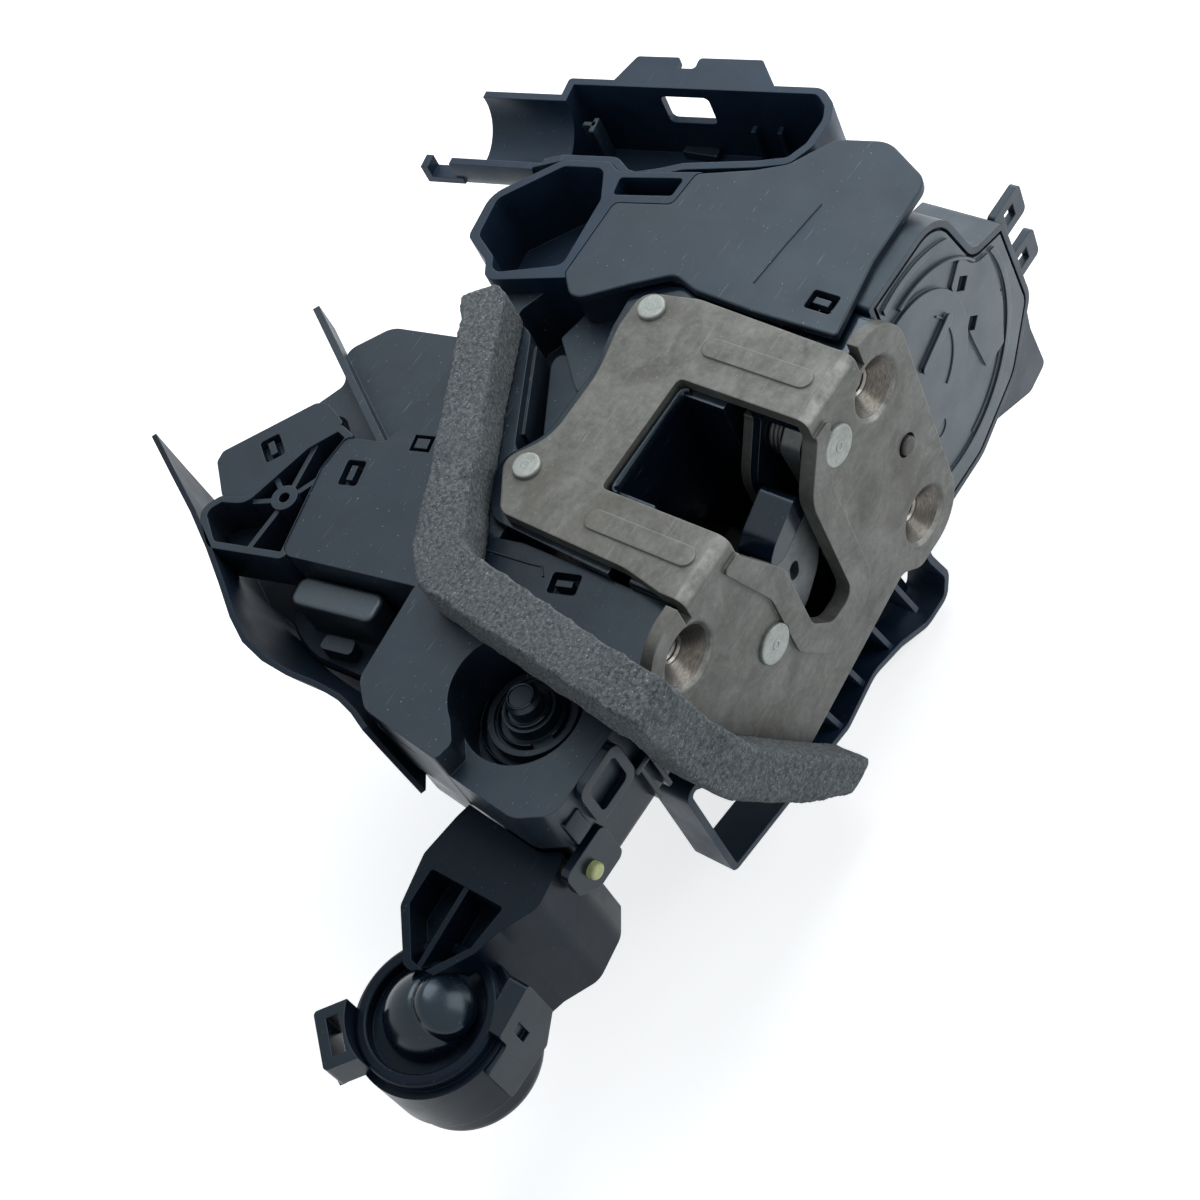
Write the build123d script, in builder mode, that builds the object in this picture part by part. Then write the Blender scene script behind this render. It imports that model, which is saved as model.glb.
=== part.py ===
from build123d import *
import math
import os

os.makedirs("parts", exist_ok=True)

# Door latch with its actuator, in millimetres
# X runs along the height of the door, Y from the shut face into the door, Z to the inboard side
# Depths are measured from the outer plane of the face plate

# Screw seats
THREAD_R = 3.4
MOUTH_R = 8.0
SEAT_DEPTH = 12.0
SEAT_TUBE_R = 6.6
SCREW_WAY_R = 4.4
SEAT_LIP = 1.2
HEAD_ROUND = 0.5
CONE_DEPTH = MOUTH_R - THREAD_R
ORIGIN_IN_THREAD = 1.0
FACE_Y = -(CONE_DEPTH + ORIGIN_IN_THREAD)
SCREW_A = (0.0, 0.0)
SCREW_B = (-0.5, -48.9)
SCREW_C = (-74.9, 1.5)

# Fits and walls
RUNNING = 0.05
GAP = 0.3
WALL = 2.2
SHEET = 3.0
SEAT_R = MOUTH_R - SHEET + SHEET * math.sqrt(2)

# Latch plate
FLANGE_TOP = 15.0
BEND_LEFT = -69.5
BEND_RIGHT = -2.5
BEND_R = 2.8
NOTCH = 2.0
MOUTH_LEFT = -52.5
MOUTH_RIGHT = -21.5
MOUTH_DEPTH = 34.0
MOUTH_CORNER = 1.5
SLOT_BOTTOM = -39.3
BEAD_H = 0.9
RIB_H = 0.5
RIB_W = 5.0
RIB_LENGTH = 29.0
RIBS = [(-12.0, 19.0), (-60.0, 18.0)]
FLANGE_UNDER = FLANGE_TOP - SHEET
RIVETS = [(-7.3, 51.3), (-54.4, 53.6)]
RIVET_R = 3.4
RIVET_SHANK_R = 2.0
RIVET_H = 1.1

# Latch works, along the depth
CLAW_PIVOT = (-55.0, -23.6)
CLAW_SLOT = (5.0, 3.2)
CLAW_SLOT_R = 17.5
CLAW_SLOT_TURN = 4.0
PAWL_PIVOT = (-16.6, 0.5)
PIN_R = 3.5
LOCATOR = (2.3, -24.4)
LOCATOR_R = 2.4
LOCATOR_PLAY = 0.7
LOCATOR_FRONT = -1.0
HEAD_R = 5.0
HEAD_H = 1.0
CLAW_FRONT = 5.0
CLAW_T = 5.0
JACKET_FRONT = 4.2
JACKET_T = 9.0
TRAY_FRONT = SHEET
TRAY_BACK = 16.0
TRAY_FLOOR = 2.0
PLATE_FRONT = TRAY_BACK
PLATE_T = 2.5
PLATE_BACK = PLATE_FRONT + PLATE_T
LEVER_FRONT = PLATE_BACK + GAP
LEVER_T = 2.5
CHANNEL_FRONT = LEVER_FRONT + LEVER_T + GAP
CHANNEL_LOW = -44.0

# Seal and decks
DECK_TOP = 9.7
SEAL_LOW = DECK_TOP
SEAL_TOP = 22.0
SEAL_T = 11.5


def upright(depth):
    """Plane parallel to the face plate: X to the right, Z up, extrude by a minus amount to go deeper."""
    return Plane(origin=(0, FACE_Y + depth, 0), x_dir=(1, 0, 0), z_dir=(0, -1, 0))


def level(height):
    """Plane parallel to the side flange: X to the right, depth from the face plate up the sketch."""
    return Plane(origin=(0, FACE_Y, height), x_dir=(1, 0, 0), z_dir=(0, 0, 1))


def rounded(points, radius):
    """Closed outline with its corners rounded, one radius for all or one for each corner."""
    with BuildSketch(Plane.XY) as shape:
        with BuildLine(Plane.XY):
            FilletPolyline(*points, radius=radius, close=True)
        make_face()
    return shape.sketch


def block(points, radius, low, high):
    """Solid on an outline seen from the inboard side, between two heights."""
    with BuildPart() as solid:
        with BuildSketch(level(low)):
            add(rounded(points, radius))
        extrude(amount=high - low)
    return solid.part


def slab(points, radius, front, back):
    """Solid on an outline seen from the shut face, between two depths."""
    with BuildPart() as solid:
        with BuildSketch(upright(front)):
            add(rounded(points, radius))
        extrude(amount=-(back - front))
    return solid.part


def seat_bosses(play):
    """Formed seats of the three screws: a cone that runs into a tube."""
    with BuildPart() as bosses:
        with BuildSketch(upright(SHEET)):
            with Locations(SCREW_A, SCREW_B, SCREW_C):
                Circle(SEAT_R + play)
        extrude(amount=-(SEAT_R - SEAT_TUBE_R), taper=45)
        with BuildSketch(upright(SHEET)):
            with Locations(SCREW_A, SCREW_B, SCREW_C):
                Circle(SEAT_TUBE_R + play)
        extrude(amount=-(SEAT_DEPTH + play - SHEET))
    return bosses.part


def polar(centre, radius, degrees):
    """Point at a radius and an angle from a centre."""
    angle = math.radians(degrees)
    return (centre[0] + radius * math.cos(angle), centre[1] + radius * math.sin(angle))


# Latch plate: face plate and side flange bent from one sheet
FACE_OUTLINE = [
    (-88.0, 15.0), (13.4, 15.0), (11.9, -61.3), (-7.5, -61.3),
    (-13.5, -55.4), (-60.0, -63.5), (-85.0, -26.0),
]
FACE_CORNERS = [12.8, 12.8, 11.8, 5.0, 4.0, 4.0, 12.0]
SLOT_OUTLINE = [
    (MOUTH_LEFT, 17.0), (MOUTH_RIGHT, 17.0), (MOUTH_RIGHT, 8.5), (-29.8, -4.0),
    (-29.8, SLOT_BOTTOM), (-38.5, SLOT_BOTTOM), (-43.8, -32.0), (-43.8, -9.0), (MOUTH_LEFT, 8.5),
]
SLOT_CORNERS = [0, 0, 3.0, 12.0, 4.0, 4.0, 4.0, 10.0, 3.0]
BEAD_OUTLINE = [
    (-58.0, 9.5), (-16.0, 9.5), (-22.6, -6.0), (-22.6, -47.0), (-42.5, -47.0), (-50.4, -34.0), (-50.4, -12.0),
]
BEAD_CORNERS = [1.0, 1.0, 12.0, 9.0, 7.0, 8.0, 12.0]
FLANGE_OUTLINE = [
    (BEND_LEFT, 0), (BEND_RIGHT, 0), (BEND_RIGHT, 6.0), (-1.2, 42.0), (-4.0, 56.3), (-14.0, 56.3),
    (-27.0, 53.2), (-46.0, 53.2), (-54.5, 60.5), (-66.5, 52.5), (-67.4, 17.0), (BEND_LEFT, 6.0),
]
FLANGE_CORNERS = [0, 0, 0, 12.0, 4.0, 8.0, 30.0, 14.0, 4.0, 4.0, 20.0, 0]

with BuildPart() as latch_plate:
    with BuildSketch(upright(0)):
        add(rounded(FACE_OUTLINE, FACE_CORNERS))
        add(rounded(SLOT_OUTLINE, SLOT_CORNERS), mode=Mode.SUBTRACT)
        for side in (BEND_LEFT - NOTCH / 2, BEND_RIGHT + NOTCH / 2):
            with Locations((side, FLANGE_TOP)):
                Rectangle(NOTCH, 4 * SHEET, mode=Mode.SUBTRACT)
    extrude(amount=-SHEET)
    with BuildSketch(level(FLANGE_UNDER)):
        add(rounded(FLANGE_OUTLINE, FLANGE_CORNERS))
        with Locations(((MOUTH_LEFT + MOUTH_RIGHT) / 2, MOUTH_DEPTH / 2)):
            RectangleRounded(MOUTH_RIGHT - MOUTH_LEFT, MOUTH_DEPTH, MOUTH_CORNER, mode=Mode.SUBTRACT)
        with Locations(((MOUTH_LEFT + MOUTH_RIGHT) / 2, MOUTH_CORNER)):
            Rectangle(MOUTH_RIGHT - MOUTH_LEFT, 4 * MOUTH_CORNER, mode=Mode.SUBTRACT)
    extrude(amount=SHEET)
    bend = latch_plate.edges().filter_by(Axis.X).filter_by(
        lambda e: abs(e.center().Y - FACE_Y) < 0.01 and abs(e.center().Z - FLANGE_TOP) < 0.01
        and BEND_LEFT < e.center().X < BEND_RIGHT
    )
    fillet(bend, radius=BEND_R)
    with BuildSketch(upright(0)):
        add(rounded(BEAD_OUTLINE, BEAD_CORNERS))
        add(rounded(SLOT_OUTLINE, SLOT_CORNERS), mode=Mode.SUBTRACT)
        with Locations(CLAW_PIVOT, PAWL_PIVOT):
            Circle(HEAD_R, mode=Mode.SUBTRACT)
    extrude(amount=BEAD_H)
    add(seat_bosses(0))
    with Locations(upright(0)):
        with Locations(SCREW_A, SCREW_B, SCREW_C):
            CounterSinkHole(radius=THREAD_R, counter_sink_radius=MOUTH_R, counter_sink_angle=90)
        with Locations(CLAW_PIVOT, PAWL_PIVOT):
            Hole(PIN_R, depth=2 * SHEET)
        with Locations(LOCATOR):
            Hole(LOCATOR_R + LOCATOR_PLAY, depth=2 * SHEET)
    seat_lips = latch_plate.edges().filter_by(GeomType.CIRCLE).filter_by(
        lambda e: e.is_closed and abs(e.radius - MOUTH_R) < 0.01 and abs(e.center().Y - FACE_Y) < 0.01
    )
    fillet(seat_lips, radius=SEAT_LIP)
    with BuildSketch(level(FLANGE_TOP)):
        with Locations(*RIBS):
            SlotOverall(RIB_LENGTH, RIB_W, rotation=90)
    extrude(amount=RIB_H)
    with BuildSketch(level(FLANGE_TOP)):
        with Locations(*RIVETS):
            Circle(RIVET_SHANK_R)
    extrude(amount=-SHEET, mode=Mode.SUBTRACT)
latch_plate.part.label = "latch_plate"
export_step(latch_plate.part, "parts/latch_plate.step")

# Rivets that hold the side flange to the channel housing
RIVET_LOW = 4.0
with BuildPart() as flange_rivets:
    with BuildSketch(level(FLANGE_TOP)):
        with Locations(*RIVETS):
            Circle(RIVET_R)
    extrude(amount=RIVET_H)
    fillet(flange_rivets.edges().group_by(Axis.Z)[-1], radius=HEAD_ROUND)
    with BuildSketch(level(RIVET_LOW)):
        with Locations(*RIVETS):
            Circle(RIVET_SHANK_R - RUNNING)
    extrude(amount=FLANGE_TOP - RIVET_LOW)
flange_rivets.part.label = "flange_rivets"
export_step(flange_rivets.part, "parts/flange_rivets.step")


def pivot_pin(centre, head_depth):
    """Headed pin through the face plate to the back plate."""
    with BuildPart() as pin:
        with BuildSketch(upright(head_depth)):
            with Locations(centre):
                Circle(HEAD_R)
        extrude(amount=HEAD_H)
        fillet(pin.edges().group_by(Axis.Y)[0], radius=HEAD_ROUND)
        with BuildSketch(upright(head_depth)):
            with Locations(centre):
                Circle(PIN_R - RUNNING)
        extrude(amount=-(PLATE_BACK - head_depth))
    return pin.part


claw_pivot_pin = pivot_pin(CLAW_PIVOT, 0)
claw_pivot_pin.label = "claw_pivot_pin"
export_step(claw_pivot_pin, "parts/claw_pivot_pin.step")

pawl_pivot_pin = pivot_pin(PAWL_PIVOT, 0)
pawl_pivot_pin.label = "pawl_pivot_pin"
export_step(pawl_pivot_pin, "parts/pawl_pivot_pin.step")

# Claw, open: the striker comes down the mouth and turns the lower jaw under it
CLAW_OUTLINE = [
    polar(CLAW_PIVOT, 31.5, 35), polar(CLAW_PIVOT, 21.2, 42), polar(CLAW_PIVOT, 11.2, 50),
    polar(CLAW_PIVOT, 11.2, 78), polar(CLAW_PIVOT, 26.0, 84), polar(CLAW_PIVOT, 26.0, 100),
    polar(CLAW_PIVOT, 23.5, 114), polar(CLAW_PIVOT, 13.5, 140), polar(CLAW_PIVOT, 13.0, 190),
    polar(CLAW_PIVOT, 13.0, 240), polar(CLAW_PIVOT, 14.5, 290), polar(CLAW_PIVOT, 20.0, 327),
    polar(CLAW_PIVOT, 26.3, 350), polar(CLAW_PIVOT, 30.8, 22),
]
CLAW_CORNERS = [1.5, 6.0, 5.0, 5.0, 1.5, 6.0, 6.0, 8.0, 6.0, 6.0, 10.0, 10.0, 12.0, 4.0]
with BuildPart() as claw:
    with BuildSketch(upright(CLAW_FRONT)):
        add(rounded(CLAW_OUTLINE, CLAW_CORNERS))
        with Locations(CLAW_PIVOT):
            Circle(PIN_R, mode=Mode.SUBTRACT)
        with Locations(polar(CLAW_PIVOT, CLAW_SLOT_R, CLAW_SLOT_TURN)):
            SlotOverall(CLAW_SLOT[0], CLAW_SLOT[1], rotation=CLAW_SLOT_TURN + 71, mode=Mode.SUBTRACT)
    extrude(amount=-CLAW_T)
claw.part.label = "claw"
export_step(claw.part, "parts/claw.step")

# Moulded jacket on the lower jaw of the claw
JACKET_OUTLINE = [
    polar(CLAW_PIVOT, 32.2, 37), polar(CLAW_PIVOT, 21.6, 44.5), polar(CLAW_PIVOT, 15.5, 47),
    polar(CLAW_PIVOT, 17.5, 30), polar(CLAW_PIVOT, 31.8, 24.5),
]
with BuildPart() as claw_jacket:
    with BuildSketch(upright(JACKET_FRONT)):
        add(rounded(JACKET_OUTLINE, [2.0, 8.0, 2.0, 3.0, 1.5]))
    extrude(amount=-JACKET_T)
    add(claw.part, mode=Mode.SUBTRACT)
claw_jacket.part.label = "claw_jacket"
export_step(claw_jacket.part, "parts/claw_jacket.step")

# Pawl, held clear of the path of the jaw; its nose drops behind the jaw when the claw is home
PEG = (-11.6, -11.5)
PEG_R = 2.0
PAWL_OUTLINE = [
    (-23.4, 2.5), (-22.2, -14.0), (-22.3, -24.0), (-23.0, -31.0), (-25.2, -37.6),
    (-20.0, -38.6), (-15.5, -27.0), (-8.6, -14.0), (-9.2, 4.0), (-16.6, 8.0),
]
with BuildPart() as pawl:
    with BuildSketch(upright(CLAW_FRONT)):
        add(rounded(PAWL_OUTLINE, [4.0, 8.0, 10.0, 6.0, 0.8, 2.0, 10.0, 4.0, 4.0, 6.0]))
        with Locations(PAWL_PIVOT):
            Circle(PIN_R, mode=Mode.SUBTRACT)
    extrude(amount=-CLAW_T)
    with BuildSketch(upright(CLAW_FRONT + CLAW_T)):
        with Locations(PEG):
            Circle(PEG_R)
    extrude(amount=-(LEVER_FRONT + LEVER_T - CLAW_FRONT - CLAW_T))
pawl.part.label = "pawl"
export_step(pawl.part, "parts/pawl.step")

# Return springs, wound round the pivots behind the claw and the pawl
SPRING_WIRE_R = 0.6
SPRING_TURNS = 3
SPRING_PITCH = 1.9 * SPRING_WIRE_R
SPRING_R = 5.2
SPRING_LEG = 11.0
SPRING_LEG_R = 0.5


def return_spring(centre, leg_to):
    """Torsion spring as closed turns on the tray floor, with a straight leg."""
    with BuildPart() as spring:
        for turn in range(SPRING_TURNS):
            turn_depth = TRAY_BACK - TRAY_FLOOR - SPRING_WIRE_R - turn * SPRING_PITCH
            with Locations(upright(turn_depth)):
                with Locations(centre):
                    Torus(SPRING_R, SPRING_WIRE_R)
        leg_depth = TRAY_BACK - TRAY_FLOOR - SPRING_WIRE_R
        with BuildSketch(Plane(origin=(centre[0], FACE_Y + leg_depth, centre[1] - SPRING_R), z_dir=(leg_to, 0, 0))):
            Circle(SPRING_LEG_R)
        extrude(amount=SPRING_LEG)
    return spring.part


claw_spring = return_spring(CLAW_PIVOT, -1)
claw_spring.label = "claw_spring"
export_step(claw_spring, "parts/claw_spring.step")

pawl_spring = return_spring(PAWL_PIVOT, 1)
pawl_spring.label = "pawl_spring"
export_step(pawl_spring, "parts/pawl_spring.step")

# Latch housing: moulded tray for the claw and the pawl
CASE_LEFT = 10.2
SIDE_COVER_LOW = -6.0
SIDE_COVER_RIGHT = -69.0
TRAY_OUTLINE = [
    (SIDE_COVER_RIGHT, FLANGE_UNDER), (SIDE_COVER_RIGHT, SIDE_COVER_LOW), (-90.5, SIDE_COVER_LOW), (-90.5, -26.0),
    (-62.0, -66.0), (-12.0, -58.5), (3.0, -58.5), (CASE_LEFT, -20.0), (CASE_LEFT, FLANGE_UNDER),
]
TRAY_CORNERS = [1.0, 0, 5.0, 12.0, 6.0, 4.0, 8.0, 8.0, 2.0]
PEG_SLOT = 11.0
PEG_PLAY = 1.6
PEG_SLOT_TURN = 15.0
with BuildPart() as latch_housing:
    add(slab(TRAY_OUTLINE, TRAY_CORNERS, TRAY_FRONT, TRAY_BACK))
    with BuildSketch(upright(TRAY_FRONT)):
        offset(rounded(TRAY_OUTLINE, TRAY_CORNERS), amount=-WALL)
    extrude(amount=-(TRAY_BACK - TRAY_FLOOR - TRAY_FRONT), mode=Mode.SUBTRACT)
    add(slab(SLOT_OUTLINE, SLOT_CORNERS, 0, TRAY_BACK), mode=Mode.SUBTRACT)
    add(seat_bosses(GAP), mode=Mode.SUBTRACT)
    with BuildSketch(upright(TRAY_BACK)):
        with Locations(CLAW_PIVOT, PAWL_PIVOT):
            Circle(PIN_R + RUNNING)
        with Locations(SCREW_A, SCREW_B, SCREW_C):
            Circle(SCREW_WAY_R)
        with Locations(PEG):
            SlotOverall(PEG_SLOT, 2 * PEG_R + PEG_PLAY, rotation=PEG_SLOT_TURN)
    extrude(amount=TRAY_FLOOR, mode=Mode.SUBTRACT)
latch_housing.part.label = "latch_housing"
export_step(latch_housing.part, "parts/latch_housing.step")

# Back plate, riveted to the far ends of the pivot pins
BACK_OUTLINE = [
    (-68.5, 9.0), (-68.5, -8.0), (-84.0, -8.0), (-84.0, -26.0), (-60.0, -58.0), (-12.0, -52.0), (4.0, -56.0),
    (9.0, -20.0), (9.0, 9.0),
]
BACK_CORNERS = [5.0, 2.0, 5.0, 6.0, 6.0, 6.0, 6.0, 6.0, 6.0]
with BuildPart() as back_plate:
    with BuildSketch(upright(PLATE_FRONT)):
        add(rounded(BACK_OUTLINE, BACK_CORNERS))
        add(rounded(SLOT_OUTLINE, SLOT_CORNERS), mode=Mode.SUBTRACT)
        with Locations(CLAW_PIVOT, PAWL_PIVOT):
            Circle(PIN_R, mode=Mode.SUBTRACT)
        with Locations(SCREW_A, SCREW_B, SCREW_C):
            Circle(SCREW_WAY_R, mode=Mode.SUBTRACT)
        with Locations(PEG):
            SlotOverall(PEG_SLOT, 2 * PEG_R + PEG_PLAY, rotation=PEG_SLOT_TURN, mode=Mode.SUBTRACT)
    extrude(amount=-PLATE_T)
back_plate.part.label = "back_plate"
export_step(back_plate.part, "parts/back_plate.step")

# Release lever: its fork holds the peg of the pawl
LEVER_PIVOT = (-7.4, -21.7)
LEVER_PIN_R = 3.0
LEVER_OUTLINE = [
    (-16.5, -7.5), (-15.5, -18.0), (-12.0, -28.0), (-2.0, -30.0), (12.0, -40.0),
    (15.5, -35.0), (0.0, -18.0), (-7.0, -7.0),
]
with BuildPart() as release_lever:
    with BuildSketch(upright(LEVER_FRONT)):
        add(rounded(LEVER_OUTLINE, [1.0, 5.0, 5.0, 5.0, 2.5, 2.5, 6.0, 1.0]))
        with Locations(LEVER_PIVOT):
            Circle(LEVER_PIN_R + RUNNING, mode=Mode.SUBTRACT)
        with Locations((PEG[0] - 0.9, PEG[1] + 2.2)):
            SlotOverall(10.0, 2 * PEG_R + 1.2, rotation=112.6, mode=Mode.SUBTRACT)
        with Locations((12.3, -36.2)):
            Circle(1.4, mode=Mode.SUBTRACT)
    extrude(amount=-LEVER_T)
release_lever.part.label = "release_lever"
export_step(release_lever.part, "parts/release_lever.step")

# Channel housing: rear half of the striker channel, under the side flange
CHANNEL_TOP = FLANGE_UNDER
MOUTH_CENTRE = -37.0
MOUTH_CLEAR = 27.0
CHANNEL_OUTLINE = [
    (2.5, CHANNEL_FRONT), (2.5, 48.0), (0.5, 58.5), (-5.0, 61.0), (-13.0, 60.0), (-24.0, 57.0),
    (-44.0, 57.0), (-54.5, 64.0), (-67.5, 56.5), (-69.0, CHANNEL_FRONT),
]
CHANNEL_CORNERS = [0, 10.0, 5.0, 3.0, 6.0, 16.0, 10.0, 7.0, 7.0, 0]
CHANNEL_END = MOUTH_DEPTH - 0.5
with BuildPart() as channel_housing:
    with BuildSketch(level(CHANNEL_LOW)):
        add(rounded(CHANNEL_OUTLINE, CHANNEL_CORNERS))
    extrude(amount=CHANNEL_TOP - CHANNEL_LOW)
    with BuildSketch(level(CHANNEL_LOW)):
        offset(rounded(CHANNEL_OUTLINE, CHANNEL_CORNERS), amount=-WALL)
        with Locations((MOUTH_CENTRE, CHANNEL_END / 2)):
            Rectangle(MOUTH_CLEAR + 2 * WALL, CHANNEL_END + 2 * WALL, mode=Mode.SUBTRACT)
        with Locations(*RIVETS):
            Circle(RIVET_SHANK_R + WALL, mode=Mode.SUBTRACT)
    extrude(amount=CHANNEL_TOP - CHANNEL_LOW - WALL, mode=Mode.SUBTRACT)
    with BuildSketch(level(SLOT_BOTTOM)):
        with Locations((MOUTH_CENTRE, CHANNEL_END / 2)):
            Rectangle(MOUTH_CLEAR, CHANNEL_END)
    extrude(amount=FLANGE_TOP - SLOT_BOTTOM, mode=Mode.SUBTRACT)
    with BuildSketch(level(CHANNEL_TOP)):
        with Locations(*RIVETS):
            Circle(RIVET_SHANK_R)
    extrude(amount=-(CHANNEL_TOP - RIVET_LOW), mode=Mode.SUBTRACT)
    with BuildSketch(upright(CHANNEL_FRONT)):
        with Locations(LEVER_PIVOT):
            Circle(LEVER_PIN_R)
    extrude(amount=LEVER_T + GAP)
channel_housing.part.label = "channel_housing"
export_step(channel_housing.part, "parts/channel_housing.step")

# Rubber stop at the end of the striker channel
STOP_H = 5.0
with BuildPart() as stop_buffer:
    with BuildSketch(level(SLOT_BOTTOM)):
        with Locations((MOUTH_CENTRE, (CHANNEL_FRONT + CHANNEL_END) / 2)):
            Rectangle(20.0, CHANNEL_END - CHANNEL_FRONT)
    extrude(amount=STOP_H)
    fillet(stop_buffer.edges().filter_by(Axis.Y).group_by(Axis.Z)[-1], radius=2.0)
stop_buffer.part.label = "stop_buffer"
export_step(stop_buffer.part, "parts/stop_buffer.step")

# Locating pin in the face plate, standing on the tray floor
with BuildPart() as locating_pin:
    with BuildSketch(upright(LOCATOR_FRONT)):
        with Locations(LOCATOR):
            Circle(LOCATOR_R)
    extrude(amount=-(TRAY_BACK - TRAY_FLOOR - LOCATOR_FRONT))
    fillet(locating_pin.edges().group_by(Axis.Y)[0], radius=0.8)
locating_pin.part.label = "locating_pin"
export_step(locating_pin.part, "parts/locating_pin.step")


WINDOW_BAR = (5.2, 7.0)
WINDOW_GAP = (1.6, 4.0)
WINDOW_CORNER = 0.8
WINDOW_DEPTH = 1.2


def clip_window(turn):
    """Clip window: a recess with a bar across it."""
    RectangleRounded(WINDOW_BAR[0], WINDOW_BAR[1], WINDOW_CORNER, rotation=turn)
    Rectangle(WINDOW_GAP[0], WINDOW_GAP[1], rotation=turn, mode=Mode.SUBTRACT)


# Side cover beside the side flange, with its clip window
DRIVE_RIGHT = -86.0
SIDE_COVER = [
    (SIDE_COVER_RIGHT, 3.5), (DRIVE_RIGHT, 3.5), (DRIVE_RIGHT, 24.0), (-80.5, 50.0), (-67.0, 59.0),
    (-70.5, 54.0), (SIDE_COVER_RIGHT, 46.0),
]
SIDE_COVER_CORNERS = [1.0, 2.0, 3.0, 3.0, 1.0, 1.0, 3.0]
SIDE_WINDOW = (-74.0, 31.0)
SIDE_WALL = 1.6
WINDOW_DEPTH = 3.0
with BuildPart() as side_cover:
    add(block(SIDE_COVER, SIDE_COVER_CORNERS, SIDE_COVER_LOW, DECK_TOP))
    with BuildSketch(level(SIDE_COVER_LOW)):
        offset(rounded(SIDE_COVER, SIDE_COVER_CORNERS), amount=-SIDE_WALL)
    extrude(amount=DECK_TOP - SIDE_WALL - WINDOW_DEPTH - SIDE_COVER_LOW, mode=Mode.SUBTRACT)
    with BuildSketch(level(DECK_TOP)):
        with Locations(SIDE_WINDOW):
            clip_window(15)
    extrude(amount=-WINDOW_DEPTH, mode=Mode.SUBTRACT)
    add(seat_bosses(GAP), mode=Mode.SUBTRACT)
side_cover.part.label = "side_cover"
export_step(side_cover.part, "parts/side_cover.step")

# Foam seal: two legs over the decks and a third down the end of the face plate
SEAL_TOP_OUTLINE = [
    (-24.0, 94.5), (-17.0, 88.5), (-18.0, 83.5), (-38.0, 73.5), (-79.0, 50.0), (-86.5, 4.0), (-88.0, -SEAL_T),
    (-100.0, -SEAL_T), (-98.5, 4.0), (-92.0, 54.5), (-83.0, 62.5), (-55.7, 76.0), (-29.0, 90.5),
]
SEAL_TOP_CORNERS = [1.0, 1.5, 1.5, 20.0, 4.0, 14.0, 0, 0, 14.0, 7.0, 8.0, 30.0, 8.0]
SEAL_END_OUTLINE = [
    (-88.0, SEAL_TOP), (-100.0, SEAL_TOP), (-96.0, -8.0), (-91.0, -27.0), (-75.5, -56.0), (-63.0, -73.5),
    (-53.0, -72.0), (-61.5, -56.0), (-77.5, -26.0), (-84.0, -2.0),
]
SEAL_END_CORNERS = [0, 5.0, 20.0, 14.0, 20.0, 1.5, 1.5, 20.0, 14.0, 20.0]
with BuildPart() as foam_seal:
    with BuildSketch(level(SEAL_LOW)):
        add(rounded(SEAL_TOP_OUTLINE, SEAL_TOP_CORNERS))
    extrude(amount=SEAL_TOP - SEAL_LOW)
    with BuildSketch(upright(0)):
        add(rounded(SEAL_END_OUTLINE, SEAL_END_CORNERS))
    extrude(amount=SEAL_T)
foam_seal.part.label = "foam_seal"
export_step(foam_seal.part, "parts/foam_seal.step")

# Edge frame: rim with ribs round the outer side of the latch
EDGE_FRONT = 5.0
EDGE_T = 11.0
EDGE_WALL = 1.8
EDGE_OUTLINE = [
    (-91.5, -33.0), (-91.5, -75.5), (-69.5, -79.5), (-44.0, -84.5), (-30.0, -81.0), (-19.0, -84.5),
    (-8.5, -90.5), (1.0, -90.5), (4.5, -84.0), (0.5, -69.0), (10.0, -58.0), (-12.0, -58.0), (-62.0, -65.5),
]
EDGE_CORNERS = [3.0, 2.5, 8.0, 6.0, 8.0, 10.0, 8.0, 4.0, 5.0, 8.0, 3.0, 4.0, 6.0]
EDGE_RIBS = [-50.0, -38.0, -26.0, -14.0]
EDGE_RIB_LEAN = 5.0
EDGE_RIB_T = 1.4
EDGE_RIB_HIGH = -58.5
EDGE_RIB_LOW = -83.0
EDGE_RIB_SET = 1.0
with BuildPart() as edge_frame:
    with BuildSketch(upright(EDGE_FRONT)) as edge_rim:
        add(rounded(EDGE_OUTLINE, EDGE_CORNERS))
        offset(amount=-EDGE_WALL, mode=Mode.SUBTRACT)
    extrude(amount=-EDGE_T)
    with BuildSketch(upright(EDGE_FRONT + EDGE_RIB_SET)):
        for rib_x in EDGE_RIBS:
            with BuildLine():
                Line((rib_x, EDGE_RIB_HIGH), (rib_x + EDGE_RIB_LEAN, EDGE_RIB_LOW))
            trace(line_width=EDGE_RIB_T)
    extrude(amount=-(EDGE_T - EDGE_RIB_SET))
    add(slab(TRAY_OUTLINE, TRAY_CORNERS, TRAY_FRONT, TRAY_BACK), mode=Mode.SUBTRACT)
edge_frame.part.label = "edge_frame"
export_step(edge_frame.part, "parts/edge_frame.step")

# Actuator case: round bowl for the gears in front and a box for the motor behind it
BOWL_FRONT = 4.6
BOWL_FLOOR = 24.0
CASE_TOP = 13.0
CASE_LOW = -22.0
COVER_T = 2.2
COVER_RIM = 1.6
COVER_PLAY = 0.8
COVER_LEDGE = 1.2
BOWL_OUTLINE = [
    (CASE_LEFT, CASE_TOP), (40.0, CASE_TOP), (47.0, -9.0), (59.0, -12.5), (61.0, -41.0), (48.5, -56.5),
    (28.5, -65.0), (CASE_LEFT, -65.0),
]
BOWL_CORNERS = [1.0, 12.0, 5.0, 2.0, 7.0, 13.0, 11.0, 3.0]
BOX_OUTLINE = [
    (2.5, BOWL_FLOOR), (2.5, 57.0), (-3.0, 63.0), (-11.0, 72.3), (-5.5, 77.9), (16.2, 78.5), (19.8, 64.3),
    (30.0, 63.8), (35.2, 50.4), (39.0, 43.6), (49.0, 36.6), (52.0, BOWL_FLOOR),
]
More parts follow.
